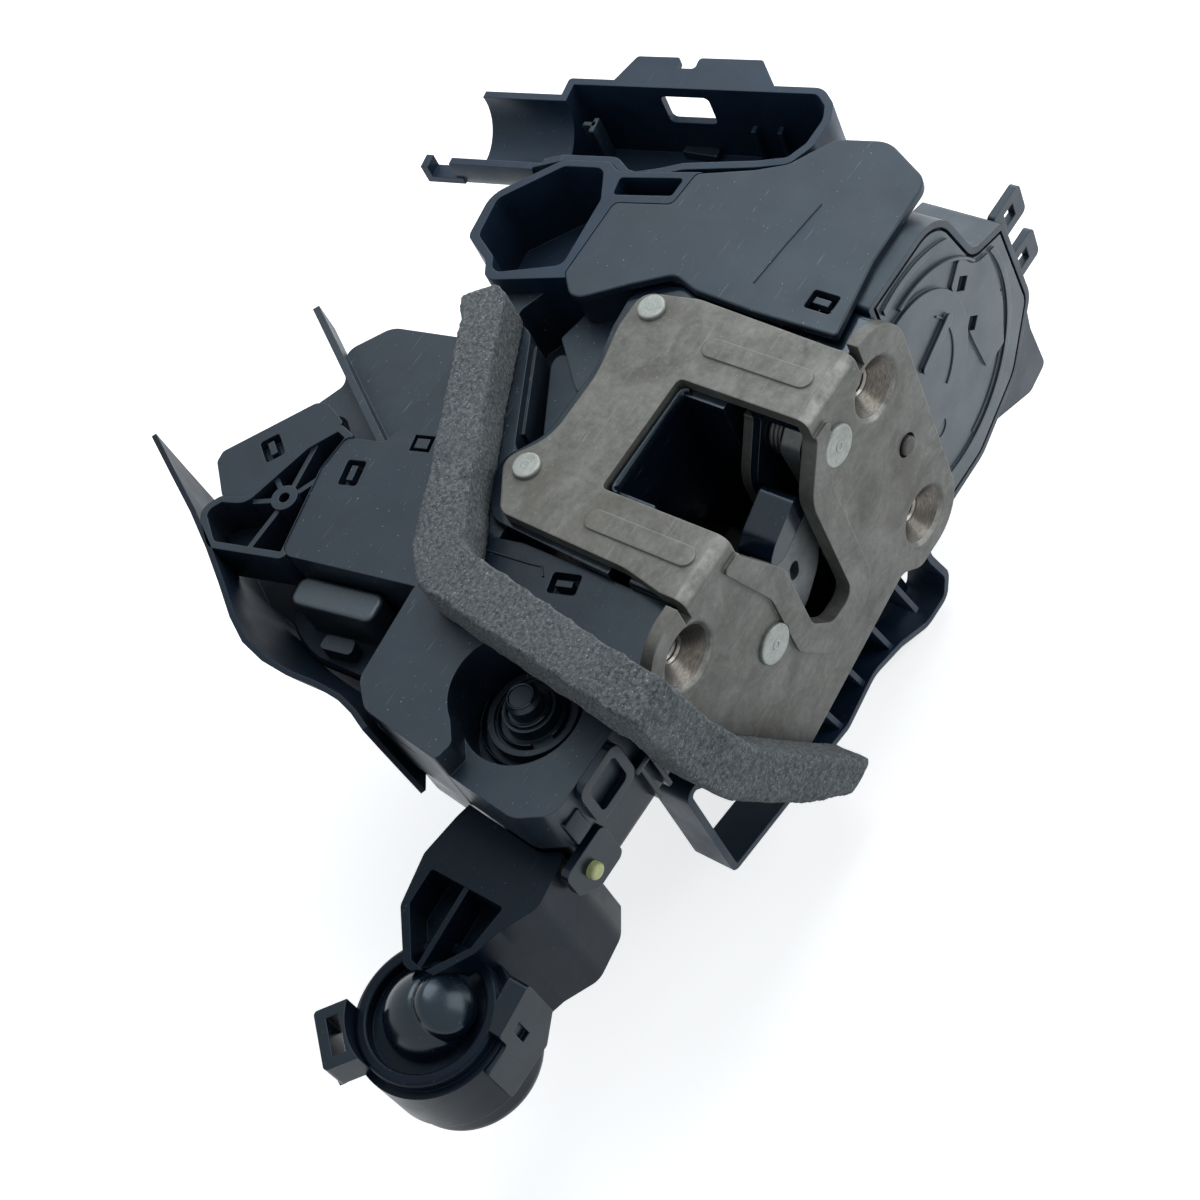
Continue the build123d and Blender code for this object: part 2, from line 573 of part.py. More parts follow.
BOX_CORNERS = [1.0, 1.0, 3.0, 4.0, 2.0, 2.0, 2.0, 2.0, 3.0, 3.0, 3.0, 1.0]
SKIRT_OUTLINE = [
    (54.0, -20.0), (64.0, -42.0), (62.5, -58.0), (64.0, -74.0), (56.0, -76.0), (41.0, -69.0), (28.0, -60.0),
]
SKIRT_FRONT = 9.0
SKIRT_T = 2.0

# Lock drive in the bowl: motor pinion, gear with its hub pinion, and the toothed lever
TOOTH = 0.9
GEAR_TEETH = 32
PINION_TEETH = 8
GEAR_AT = (30.0, -22.0)
MOTOR_ANGLE = 110.0
MOTOR_AT = polar(GEAR_AT, TOOTH * (GEAR_TEETH + PINION_TEETH) / 2, MOTOR_ANGLE)
HUB_TOOTH = 0.8
HUB_TEETH = 12
SECTOR_TEETH = 36
LEVER_ANGLE = -50.0
LOCK_LEVER_AT = polar(GEAR_AT, HUB_TOOTH * (HUB_TEETH + SECTOR_TEETH) / 2, LEVER_ANGLE)
GEAR_FRONT = 9.0
GEAR_T = 4.0
HUB_T = 4.0
SECTOR_FRONT = 13.4
SECTOR_T = 3.0
POST_R = 2.5
SHOULDER_R = 4.0
MOTOR_R = 9.0
MOTOR_FRONT = 18.0
MOTOR_BACK = 48.0
SHAFT_R = 1.0

# Circuit board above the motor
BOARD_LOW = 6.0
BOARD_T = 1.6
BOARD_POSTS = [(8.0, 33.0), (8.0, 57.0), (26.0, 57.0)]
BOARD_POST_R = 2.0

# Window in the side of the bowl for the end of the release lever
LEVER_WINDOW_AT = -36.0
LEVER_WINDOW = 24.0

with BuildPart() as actuator_case:
    add(slab(BOWL_OUTLINE, BOWL_CORNERS, BOWL_FRONT, BOWL_FLOOR + WALL))
    add(slab(SKIRT_OUTLINE, [6.0, 8.0, 6.0, 2.0, 3.0, 8.0, 6.0], SKIRT_FRONT, SKIRT_FRONT + SKIRT_T))
    with BuildSketch(upright(BOWL_FRONT)):
        offset(rounded(BOWL_OUTLINE, BOWL_CORNERS), amount=-COVER_RIM)
    extrude(amount=-COVER_T, mode=Mode.SUBTRACT)
    with BuildSketch(upright(BOWL_FRONT)):
        offset(rounded(BOWL_OUTLINE, BOWL_CORNERS), amount=-(COVER_RIM + COVER_PLAY + COVER_LEDGE))
    extrude(amount=-(BOWL_FLOOR - BOWL_FRONT), mode=Mode.SUBTRACT)
    add(block(BOX_OUTLINE, BOX_CORNERS, CASE_LOW, CASE_TOP))
    with BuildSketch(level(CASE_LOW + WALL)):
        offset(rounded(BOX_OUTLINE, BOX_CORNERS), amount=-WALL)
    extrude(amount=CASE_TOP - CASE_LOW - WALL, mode=Mode.SUBTRACT)
    with BuildSketch(upright(BOWL_FLOOR + WALL)):
        with Locations(MOTOR_AT):
            Circle(MOTOR_R)
    extrude(amount=WALL, mode=Mode.SUBTRACT)
    for post_at, shoulder, tip in (
        (GEAR_AT, GEAR_FRONT + GEAR_T + HUB_T + GAP, GEAR_FRONT - GAP),
        (LOCK_LEVER_AT, SECTOR_FRONT + SECTOR_T + GAP, SECTOR_FRONT - GAP),
    ):
        with BuildSketch(upright(BOWL_FLOOR)):
            with Locations(post_at):
                Circle(SHOULDER_R)
        extrude(amount=BOWL_FLOOR - shoulder)
        with BuildSketch(upright(BOWL_FLOOR)):
            with Locations(post_at):
                Circle(POST_R)
        extrude(amount=BOWL_FLOOR - tip)
    with BuildSketch(upright(LEVER_FRONT - GAP)):
        with Locations((CASE_LEFT, LEVER_WINDOW_AT)):
            Rectangle(2 * (COVER_RIM + COVER_PLAY + COVER_LEDGE) + 1, LEVER_WINDOW)
    extrude(amount=-(LEVER_T + 2 * GAP), mode=Mode.SUBTRACT)
    with BuildSketch(level(CASE_LOW + WALL)):
        with Locations(*BOARD_POSTS):
            Circle(BOARD_POST_R)
    extrude(amount=BOARD_LOW - CASE_LOW - WALL)
actuator_case.part.label = "actuator_case"
export_step(actuator_case.part, "parts/actuator_case.step")


def gear_outline(teeth, module, first_tooth, kept):
    """Closed toothed outline round the origin, with thinned teeth so that a pair never touches."""
    pitch_r = teeth * module / 2
    points = []
    for tooth in range(teeth):
        middle = first_tooth + tooth * 360 / teeth
        if tooth in kept:
            for radius, half in ((pitch_r - 1.15 * module, 0.33), (pitch_r, 0.20), (pitch_r + 0.85 * module, 0.07)):
                points.append(polar((0, 0), radius, middle - half * 360 / teeth))
            for radius, half in ((pitch_r + 0.85 * module, 0.07), (pitch_r, 0.20), (pitch_r - 1.15 * module, 0.33)):
                points.append(polar((0, 0), radius, middle + half * 360 / teeth))
    return points


def toothed(centre, teeth, module, first_tooth):
    """Full gear wheel as a sketch of straight edges at a centre."""
    with BuildSketch(Plane.XY) as wheel:
        with BuildLine(Plane.XY):
            Polyline(*gear_outline(teeth, module, first_tooth, range(teeth)), close=True)
        make_face()
    return wheel.sketch.translate((centre[0], centre[1], 0))


# Gear of the lock drive with the hub pinion behind it
WEB_R = 10.5
WEB_IN_R = 5.8
WEB_CUT = 1.0
with BuildPart() as lock_gear:
    with BuildSketch(upright(GEAR_FRONT)):
        add(toothed(GEAR_AT, GEAR_TEETH, TOOTH, MOTOR_ANGLE))
    extrude(amount=-GEAR_T)
    with BuildSketch(upright(GEAR_FRONT)):
        with Locations(GEAR_AT):
            Circle(WEB_R)
            Circle(WEB_IN_R, mode=Mode.SUBTRACT)
    extrude(amount=-WEB_CUT, mode=Mode.SUBTRACT)
    with BuildSketch(upright(GEAR_FRONT + GEAR_T)):
        add(toothed(GEAR_AT, HUB_TEETH, HUB_TOOTH, LEVER_ANGLE))
    extrude(amount=-HUB_T)
    with BuildSketch(upright(GEAR_FRONT)):
        with Locations(GEAR_AT):
            Circle(POST_R + RUNNING)
    extrude(amount=-(GEAR_T + HUB_T), mode=Mode.SUBTRACT)
lock_gear.part.label = "lock_gear"
export_step(lock_gear.part, "parts/lock_gear.step")

# Motor of the lock drive, held in the floor of the bowl
MOTOR_NOSE_R = 3.0
MOTOR_NOSE = 2.0
with BuildPart() as lock_motor:
    with BuildSketch(upright(MOTOR_FRONT)):
        with Locations(MOTOR_AT):
            Circle(MOTOR_R)
    extrude(amount=-(MOTOR_BACK - MOTOR_FRONT))
    chamfer(lock_motor.edges().filter_by(GeomType.CIRCLE), length=0.8)
    with BuildSketch(upright(MOTOR_FRONT)):
        with Locations(MOTOR_AT):
            Circle(MOTOR_NOSE_R)
    extrude(amount=MOTOR_NOSE)
    with BuildSketch(upright(MOTOR_FRONT)):
        with Locations(MOTOR_AT):
            Circle(SHAFT_R)
    extrude(amount=MOTOR_FRONT - GEAR_FRONT)
lock_motor.part.label = "lock_motor"
export_step(lock_motor.part, "parts/lock_motor.step")

with BuildPart() as lock_pinion:
    with BuildSketch(upright(GEAR_FRONT)):
        add(toothed(MOTOR_AT, PINION_TEETH, TOOTH, MOTOR_ANGLE + 180 + 180 / PINION_TEETH))
        with Locations(MOTOR_AT):
            Circle(SHAFT_R + RUNNING, mode=Mode.SUBTRACT)
    extrude(amount=-GEAR_T)
lock_pinion.part.label = "lock_pinion"
export_step(lock_pinion.part, "parts/lock_pinion.step")

# Lock lever: a toothed sector on one side of its pivot and an arm on the other
SECTOR_HALF = 5
SECTOR_ARM = 9.0
SECTOR_ARM_W = 6.0
SECTOR_HUB_R = 6.0
SECTOR_PITCH_DEG = 360 / SECTOR_TEETH
with BuildPart() as lock_lever:
    with BuildSketch(upright(SECTOR_FRONT)):
        with BuildLine(Plane.XY):
            Polyline(
                (0, 0),
                *gear_outline(SECTOR_TEETH, HUB_TOOTH, LEVER_ANGLE + 180 - (SECTOR_HALF - 0.5) * SECTOR_PITCH_DEG,
                              range(2 * SECTOR_HALF)),
                close=True,
            )
        make_face()
        Circle(SECTOR_HUB_R)
        with Locations(polar((0, 0), SECTOR_ARM / 2, LEVER_ANGLE)):
            SlotOverall(SECTOR_ARM + SECTOR_ARM_W, SECTOR_ARM_W, rotation=LEVER_ANGLE)
        Circle(POST_R + RUNNING, mode=Mode.SUBTRACT)
    extrude(amount=-SECTOR_T)
lock_lever_part = lock_lever.part.translate((LOCK_LEVER_AT[0], 0, LOCK_LEVER_AT[1]))
lock_lever_part.label = "lock_lever"
export_step(lock_lever_part, "parts/lock_lever.step")

# Circuit board on its three posts, and the microswitches on it
BOARD = (5.6, 29.5, 29.0, 61.0)
SWITCHES = [(10.5, 40.0), (10.5, 51.0), (22.5, 51.0)]
SWITCH_SIZE = (5.8, 8.2, 4.6)
with BuildPart() as circuit_board:
    with BuildSketch(level(BOARD_LOW)):
        with Locations(((BOARD[0] + BOARD[2]) / 2, (BOARD[1] + BOARD[3]) / 2)):
            RectangleRounded(BOARD[2] - BOARD[0], BOARD[3] - BOARD[1], 1.0)
    extrude(amount=BOARD_T)
circuit_board.part.label = "circuit_board"
export_step(circuit_board.part, "parts/circuit_board.step")

with BuildPart() as microswitches:
    with BuildSketch(level(BOARD_LOW + BOARD_T)):
        with Locations(*SWITCHES):
            Rectangle(SWITCH_SIZE[0], SWITCH_SIZE[1])
    extrude(amount=SWITCH_SIZE[2])
microswitches.part.label = "microswitches"
export_step(microswitches.part, "parts/microswitches.step")

# Gear cover: round plate set into the rim of the bowl, with a raised wheel and clip holes
BULGE_AT = (17.0, -18.0)
BULGE_R = 20.0
BULGE_H = 1.1
STEP_AT = (21.0, -24.0)
STEP_R = 33.5
STEP_W = 1.6
STEP_H = 0.7
PLATEAU = [
    (35.5, -9.0), (40.5, -4.8), (46.0, -9.0), (50.5, -14.0), (50.5, -30.0), (46.5, -42.0), (38.5, -42.0), (37.0, -30.0),
]
PLATEAU_H = 0.7
BAR_AT = (24.5, -15.5)
BAR_LENGTH = 15.0
BAR_W = 2.6
BAR_TURN = 19.0
BAR_H = 1.0
CLIP_HOLES = [(39.2, -11.5), (38.4, -25.0)]
CLIP_HOLE = 3.6
CLIP_HOLE_DEPTH = 1.4
with BuildPart() as gear_cover:
    with BuildSketch(upright(BOWL_FRONT)):
        offset(rounded(BOWL_OUTLINE, BOWL_CORNERS), amount=-(COVER_RIM + COVER_PLAY))
    extrude(amount=-COVER_T)
    with BuildSketch(upright(BOWL_FRONT)):
        with Locations(BULGE_AT):
            Circle(BULGE_R)
        offset(rounded(BOWL_OUTLINE, BOWL_CORNERS), amount=-(COVER_RIM + COVER_PLAY + 1), mode=Mode.INTERSECT)
    extrude(amount=BULGE_H)
    with BuildSketch(upright(BOWL_FRONT)):
        with Locations(STEP_AT):
            Circle(STEP_R)
            Circle(STEP_R - STEP_W, mode=Mode.SUBTRACT)
        with Locations(BULGE_AT):
            Circle(BULGE_R, mode=Mode.SUBTRACT)
        offset(rounded(BOWL_OUTLINE, BOWL_CORNERS), amount=-(COVER_RIM + COVER_PLAY + 1), mode=Mode.INTERSECT)
    extrude(amount=STEP_H)
    with BuildSketch(upright(BOWL_FRONT)):
        add(rounded(PLATEAU, 1.0))
        offset(rounded(BOWL_OUTLINE, BOWL_CORNERS), amount=-(COVER_RIM + COVER_PLAY + 1), mode=Mode.INTERSECT)
    extrude(amount=PLATEAU_H)
    with BuildSketch(upright(BOWL_FRONT)):
        with Locations(BAR_AT):
            SlotOverall(BAR_LENGTH, BAR_W, rotation=BAR_TURN)
    extrude(amount=BULGE_H + BAR_H)
    with BuildSketch(upright(BOWL_FRONT - PLATEAU_H)):
        with Locations(*CLIP_HOLES):
            Rectangle(CLIP_HOLE, CLIP_HOLE, rotation=45)
    extrude(amount=-CLIP_HOLE_DEPTH, mode=Mode.SUBTRACT)
gear_cover.part.label = "gear_cover"
export_step(gear_cover.part, "parts/gear_cover.step")

# Cover clips on the right side of the bowl
CLIP_ATS = [(64.5, -17.0), (65.0, -33.0)]
CLIP_FRONT = 7.0
COVER_CLIP = (12.0, 9.0)
COVER_CLIP_ROUND = 1.5
COVER_CLIP_HOLE = 4.0
COVER_CLIP_T = 2.0
with BuildPart() as cover_clips:
    with BuildSketch(upright(CLIP_FRONT)):
        with Locations(*CLIP_ATS):
            RectangleRounded(COVER_CLIP[0], COVER_CLIP[1], COVER_CLIP_ROUND)
            Rectangle(COVER_CLIP_HOLE, COVER_CLIP_HOLE, mode=Mode.SUBTRACT)
        add(rounded(BOWL_OUTLINE, BOWL_CORNERS), mode=Mode.SUBTRACT)
        add(rounded(SKIRT_OUTLINE, 1.0), mode=Mode.SUBTRACT)
    extrude(amount=-COVER_CLIP_T)
cover_clips.part.label = "cover_clips"
export_step(cover_clips.part, "parts/cover_clips.step")

# Actuator cover: flat panel over the case
COVER_OUTLINE = [
    (0.5, 6.3), (0.0, 28.0), (0.7, 44.8), (3.0, 52.0), (-3.0, 61.0), (-11.7, 72.5), (-5.5, 78.7), (16.6, 79.5),
    (20.6, 65.0), (30.5, 64.5), (35.9, 50.9), (39.7, 44.2), (49.7, 37.2), (52.8, 24.5), (45.1, 9.9), (21.0, 9.4),
]
COVER_CORNERS = [1.0, 30.0, 6.0, 4.0, 4.0, 4.0, 2.0, 2.0, 2.0, 2.0, 6.0, 4.0, 4.0, 8.0, 6.0, 8.0]
PANEL_T = 2.0
PANEL_CLIP = (7.5, 14.3)
with BuildPart() as actuator_cover:
    add(block(COVER_OUTLINE, COVER_CORNERS, CASE_TOP, CASE_TOP + PANEL_T))
    fillet(actuator_cover.edges().group_by(Axis.Z)[-1], radius=0.5)
    with BuildSketch(level(CASE_TOP + PANEL_T)):
        with Locations(PANEL_CLIP):
            clip_window(0)
    extrude(amount=-WINDOW_DEPTH, mode=Mode.SUBTRACT)
actuator_cover.part.label = "actuator_cover"
export_step(actuator_cover.part, "parts/actuator_cover.step")

# Cable pocket between the case and the cable trough
RIM_TOP = 15.0
POCKET_LOW = -7.0
POCKET_OUTLINE = [
    (8.8, 112.5), (24.0, 100.3), (27.0, 88.1), (25.0, 84.0), (31.5, 62.0), (18.0, 62.0), (14.0, 76.0), (-6.0, 76.0),
    (-14.0, 97.4), (-9.0, 100.6), (-4.2, 110.0),
]
POCKET_CORNERS = [8.0, 6.0, 3.0, 2.0, 1.0, 1.0, 1.0, 1.0, 3.0, 4.0, 3.0]
POCKET_BIG = [(8.2, 110.0), (22.3, 99.0), (24.9, 88.4), (16.2, 83.2), (-3.8, 80.6), (-11.6, 97.0), (-7.2, 99.6), (-3.0, 107.6)]
POCKET_SMALL = [(18.4, 81.2), (23.6, 82.6), (28.3, 66.4), (22.6, 66.4)]
with BuildPart() as cable_pocket:
    add(block(POCKET_OUTLINE, POCKET_CORNERS, POCKET_LOW, RIM_TOP))
    add(block(POCKET_BIG, 3.0, POCKET_LOW + WALL, RIM_TOP), mode=Mode.SUBTRACT)
    add(block(POCKET_SMALL, 1.0, POCKET_LOW + WALL, RIM_TOP), mode=Mode.SUBTRACT)
    add(block(BOX_OUTLINE, BOX_CORNERS, CASE_LOW, CASE_TOP), mode=Mode.SUBTRACT)
    add(block(COVER_OUTLINE, COVER_CORNERS, CASE_TOP, RIM_TOP), mode=Mode.SUBTRACT)
cable_pocket.part.label = "cable_pocket"
export_step(cable_pocket.part, "parts/cable_pocket.step")

# Cable trough: open box with a rounded end and a half tube, turned a little from the case
TROUGH_AT = (25.2, 133.0)
TROUGH_TURN = 13.0
TROUGH_LOW = -10.0
TROUGH_WALL = 2.0
TUBE_R = 12.2
TUBE_LENGTH = 24.0
TUBE_AXIS = 13.0
FLAP_T = 2.0
TROUGH_ALONG = polar((0, 0), 1.0, TROUGH_TURN)
TROUGH_PLANE = Plane(
    origin=(TROUGH_AT[0], FACE_Y + TROUGH_AT[1], TROUGH_LOW), x_dir=(*TROUGH_ALONG, 0), z_dir=(0, 0, 1))
TUBE_PLANE = Plane(
    origin=(TROUGH_AT[0], FACE_Y + TROUGH_AT[1], 0), x_dir=(*TROUGH_ALONG, 0),
    z_dir=(TROUGH_ALONG[1], -TROUGH_ALONG[0], 0))
TROUGH_RIGHT = 17.5
TROUGH_END = TROUGH_WALL - TUBE_LENGTH
TROUGH_OUTLINE = [
    (TROUGH_RIGHT, TROUGH_END), (TROUGH_RIGHT, -90.5), (13.0, -94.5), (7.9, -95.8), (-0.4, -94.0), (-5.9, -90.0),
    (-7.5, -82.0), (-9.4, -64.0), (-11.5, -58.0), (-13.0, -52.0), (-12.2, -49.0), (-8.8, -45.0), (-9.0, -31.0),
    (-TUBE_R, TROUGH_END),
]
TROUGH_CORNERS = [1.0, 5.0, 3.0, 8.0, 5.0, 4.0, 30.0, 6.0, 10.0, 2.0, 2.0, 3.0, 6.0, 1.0]
FLAP = [(16.0, -34.0), (25.5, -38.0), (25.5, -50.0), (22.0, -50.0), (22.0, -55.0), (25.5, -55.0), (25.5, -72.0), (16.0, -79.0)]
TONGUE_LENGTH = 9.0
TONGUE_W = 4.0
TONGUE_LOW = 8.0
TONGUE_T = 2.0
HOOK_LIP = 3.5
TROUGH_RIBS = [-70.0, -77.0]
TROUGH_RIB_H = 13.0
TROUGH_RIB_T = 1.2
TROUGH_WINDOW_AT = (-53.5, 7.5)
TROUGH_WINDOW = (13.0, 9.0)
TROUGH_WINDOW_CORNER = 1.5
with BuildPart() as cable_trough:
    with BuildSketch(TROUGH_PLANE):
        add(rounded(TROUGH_OUTLINE, TROUGH_CORNERS))
    extrude(amount=RIM_TOP - TROUGH_LOW)
    with BuildSketch(TUBE_PLANE):
        with Locations((0, TUBE_AXIS)):
            Circle(TUBE_R)
    extrude(amount=TUBE_LENGTH)
    with BuildSketch(TROUGH_PLANE.offset(TROUGH_WALL)):
        offset(rounded(TROUGH_OUTLINE, TROUGH_CORNERS), amount=-TROUGH_WALL)
    extrude(amount=RIM_TOP - TROUGH_LOW, mode=Mode.SUBTRACT)
    with BuildSketch(TUBE_PLANE):
        with Locations((0, TUBE_AXIS)):
            Circle(TUBE_R - TROUGH_WALL)
    extrude(amount=TUBE_LENGTH + TROUGH_WALL, mode=Mode.SUBTRACT)
    with BuildSketch(TUBE_PLANE):
        with Locations((0, RIM_TOP + TUBE_R)):
            Rectangle(3 * TUBE_R, 2 * TUBE_R)
    extrude(amount=2 * TUBE_LENGTH, mode=Mode.SUBTRACT)
    with BuildSketch(TROUGH_PLANE.offset(RIM_TOP - FLAP_T - TROUGH_LOW)):
        add(rounded(FLAP, 1.0))
    extrude(amount=FLAP_T)
    with BuildSketch(TROUGH_PLANE.offset(TONGUE_LOW - TROUGH_LOW)):
        with Locations((TONGUE_W / 2 - TUBE_R, TONGUE_LENGTH / 2 - TROUGH_WALL / 2)):
            Rectangle(TONGUE_W, TONGUE_LENGTH + TROUGH_WALL)
    extrude(amount=TONGUE_T)
    with BuildSketch(TROUGH_PLANE.offset(TONGUE_LOW - TROUGH_LOW)):
        with Locations((TONGUE_W / 2 - TUBE_R, TONGUE_LENGTH - FLAP_T / 2)):
            Rectangle(TONGUE_W, FLAP_T)
    extrude(amount=TONGUE_T + HOOK_LIP)
    with BuildSketch(TROUGH_PLANE):
        for rib_at in TROUGH_RIBS:
            with Locations((TROUGH_RIGHT - TROUGH_WALL, rib_at)):
                Rectangle(2 * TROUGH_WALL, TROUGH_RIB_T)
    extrude(amount=TROUGH_RIB_H)
    with BuildSketch(Plane(origin=TROUGH_PLANE.origin, x_dir=(-TROUGH_ALONG[1], TROUGH_ALONG[0], 0), z_dir=(*TROUGH_ALONG, 0))):
        with Locations((TROUGH_WINDOW_AT[0], TROUGH_WINDOW_AT[1] - TROUGH_LOW)):
            RectangleRounded(*TROUGH_WINDOW, TROUGH_WINDOW_CORNER)
    extrude(amount=TROUGH_RIGHT + TROUGH_WALL, mode=Mode.SUBTRACT)
    add(block(BOX_OUTLINE, BOX_CORNERS, CASE_LOW, CASE_TOP), mode=Mode.SUBTRACT)
    add(block(COVER_OUTLINE, COVER_CORNERS, CASE_TOP, RIM_TOP), mode=Mode.SUBTRACT)
    add(block(POCKET_OUTLINE, POCKET_CORNERS, POCKET_LOW, RIM_TOP), mode=Mode.SUBTRACT)
cable_trough.part.label = "cable_trough"
export_step(cable_trough.part, "parts/cable_trough.step")

# Side panel: deck behind the channel, with its clip window and tab
PANEL_LOW = -10.0
SIDE_PANEL = [
    (-94.6, 101.0), (-71.5, 107.0), (-62.0, 106.7), (-59.5, 96.5), (-50.0, 93.0), (-20.0, 97.0), (-12.5, 96.0),
    (-4.0, 77.0), (-9.0, 72.0), (0.0, 62.0), (-13.0, 56.0), (-80.0, 52.0), (-88.0, 62.0),
]
SIDE_PANEL_CORNERS = [3.0, 3.0, 2.0, 2.0, 4.0, 4.0, 1.0, 1.0, 1.0, 1.0, 1.0, 1.0, 3.0]
PANEL_WINDOW = (-69.6, 98.6)
PANEL_TAB = (-56.3, 86.8)

# Open well beside the foam, with a rounded leaf and a step inside
WELL = [(-50.0, 54.0), (-50.0, 63.5), (-20.5, 80.3), (-17.5, 88.0), (2.0, 80.0), (2.0, 54.0)]
WELL_CORNERS = [1.0, 6.0, 4.0, 3.0, 1.0, 1.0]
WELL_LEAF = [(-40.5, 66.0), (-22.0, 77.2), (-17.0, 77.5), (-21.0, 69.5), (-28.0, 64.0), (-37.0, 62.5)]
WELL_LEAF_CORNERS = [1.5, 3.0, 2.0, 12.0, 8.0, 2.0]
WELL_LEAF_TOP = 1.0
WELL_STEP = [(-16.0, 77.0), (-7.0, 75.0), (-4.0, 62.0), (-13.0, 58.0), (-30.0, 58.0), (-27.0, 64.8)]
WELL_STEP_TOP = 4.0
WELL_FENCE = [(-44.0, 66.9), (-22.0, 79.4)]
WELL_FENCE_T = 1.3
WELL_FENCE_TOP = 7.0
WELL_FLOOR = PANEL_LOW + WALL
with BuildPart() as side_panel:
    add(block(SIDE_PANEL, SIDE_PANEL_CORNERS, PANEL_LOW, DECK_TOP))
    with BuildSketch(level(PANEL_LOW)):
        offset(rounded(SIDE_PANEL, SIDE_PANEL_CORNERS), amount=-WALL)
        offset(rounded(WELL, WELL_CORNERS), amount=WALL, mode=Mode.SUBTRACT)
    extrude(amount=DECK_TOP - WALL - WINDOW_DEPTH - PANEL_LOW, mode=Mode.SUBTRACT)
    add(block(WELL, WELL_CORNERS, WELL_FLOOR, DECK_TOP), mode=Mode.SUBTRACT)
    add(block(WELL_LEAF, WELL_LEAF_CORNERS, WELL_FLOOR, WELL_LEAF_TOP))
    add(block(WELL_STEP, 1.0, WELL_FLOOR, WELL_STEP_TOP))
    with BuildSketch(level(WELL_FLOOR)):
        with BuildLine():
            Line(*WELL_FENCE)
        trace(line_width=WELL_FENCE_T)
    extrude(amount=WELL_FENCE_TOP - WELL_FLOOR)
    with BuildSketch(level(DECK_TOP)):
        with Locations(PANEL_WINDOW):
            clip_window(-75)
        with Locations(PANEL_TAB):
            Rectangle(4.5, 5.4, rotation=15)
            Rectangle(2.6, 3.4, rotation=15, mode=Mode.SUBTRACT)
    extrude(amount=-WINDOW_DEPTH, mode=Mode.SUBTRACT)
    add(block(CHANNEL_OUTLINE, CHANNEL_CORNERS, CHANNEL_LOW, CHANNEL_TOP), mode=Mode.SUBTRACT)
    add(block(SIDE_COVER, SIDE_COVER_CORNERS, PANEL_LOW, DECK_TOP), mode=Mode.SUBTRACT)
    add(block(BOX_OUTLINE, BOX_CORNERS, CASE_LOW, CASE_TOP), mode=Mode.SUBTRACT)
    add(block(POCKET_OUTLINE, POCKET_CORNERS, PANEL_LOW, RIM_TOP), mode=Mode.SUBTRACT)
side_panel.part.label = "side_panel"
export_step(side_panel.part, "parts/side_panel.step")

# Rib frame with a screw boss, behind the side panel
FRAME_TOP = 10.0
FRAME_LOW = -2.0
FRAME_WALL = 1.8
FRAME_OUTLINE = [
    (-95.5, 99.0), (-100.6, 120.3), (-93.4, 130.3), (-87.7, 126.9), (-85.7, 120.7), (-67.6, 115.8), (-59.5, 110.6),
    (-61.0, 105.0), (-71.5, 105.3),
]
FRAME_CORNERS = [2.0, 4.0, 4.0, 3.0, 3.0, 6.0, 2.0, 1.0, 3.0]
BOSS_AT = (-81.9, 110.6)
BOSS_R = 3.4
BOSS_HOLE_R = 1.4
FRAME_WELL = 8.0
FRAME_RIBS = [(-78.0, 117.4), (-85.6, 118.6), (-74.0, 106.6), (-97.4, 110.7), (-66.6, 113.6)]
RIB_T = 1.3
with BuildPart() as rib_frame:
    with BuildSketch(level(FRAME_LOW)):
        add(rounded(FRAME_OUTLINE, FRAME_CORNERS))
        offset(rounded(FRAME_OUTLINE, FRAME_CORNERS), amount=-FRAME_WALL, mode=Mode.SUBTRACT)
        with Locations(BOSS_AT):
            Circle(BOSS_R)
    extrude(amount=FRAME_TOP - FRAME_LOW)
    with BuildSketch(level(FRAME_LOW)):
        for rib_end in FRAME_RIBS:
            with BuildLine():
                Line(BOSS_AT, rib_end)
            trace(line_width=RIB_T)
    extrude(amount=FRAME_TOP - FRAME_LOW - 1)
    with BuildSketch(level(FRAME_TOP)):
        with Locations(BOSS_AT):
            Circle(BOSS_HOLE_R)
    extrude(amount=-FRAME_WELL, mode=Mode.SUBTRACT)
    add(block(SIDE_PANEL, SIDE_PANEL_CORNERS, PANEL_LOW, DECK_TOP + 1), mode=Mode.SUBTRACT)
rib_frame.part.label = "rib_frame"
export_step(rib_frame.part, "parts/rib_frame.step")

# Clip cover behind the rib frame
CLIP_COVER = [
    (-80.5, 135.0), (-88.0, 126.5), (-86.5, 119.5), (-67.6, 114.0), (-59.0, 110.0), (-56.0, 117.8), (-57.0, 121.0), (-77.5, 135.5),
]
CLIP_COVER_CORNERS = [2.0, 2.0, 1.0, 3.0, 1.0, 2.0, 2.0, 1.5]
CLIP_COVER_LOW = -8.0
CLIP_COVER_WINDOW = (-71.8, 123.2)
with BuildPart() as clip_cover:
    add(block(CLIP_COVER, CLIP_COVER_CORNERS, CLIP_COVER_LOW, FRAME_TOP))
    with BuildSketch(level(CLIP_COVER_LOW)):
        offset(rounded(CLIP_COVER, CLIP_COVER_CORNERS), amount=-FRAME_WALL)
    extrude(amount=FRAME_TOP - FRAME_WALL - WINDOW_DEPTH - CLIP_COVER_LOW, mode=Mode.SUBTRACT)
    with BuildSketch(level(FRAME_TOP)):
        with Locations(CLIP_COVER_WINDOW):
            clip_window(-35)
    extrude(amount=-WINDOW_DEPTH, mode=Mode.SUBTRACT)
    add(block(FRAME_OUTLINE, FRAME_CORNERS, CLIP_COVER_LOW, FRAME_TOP), mode=Mode.SUBTRACT)
clip_cover.part.label = "clip_cover"
export_step(clip_cover.part, "parts/clip_cover.step")

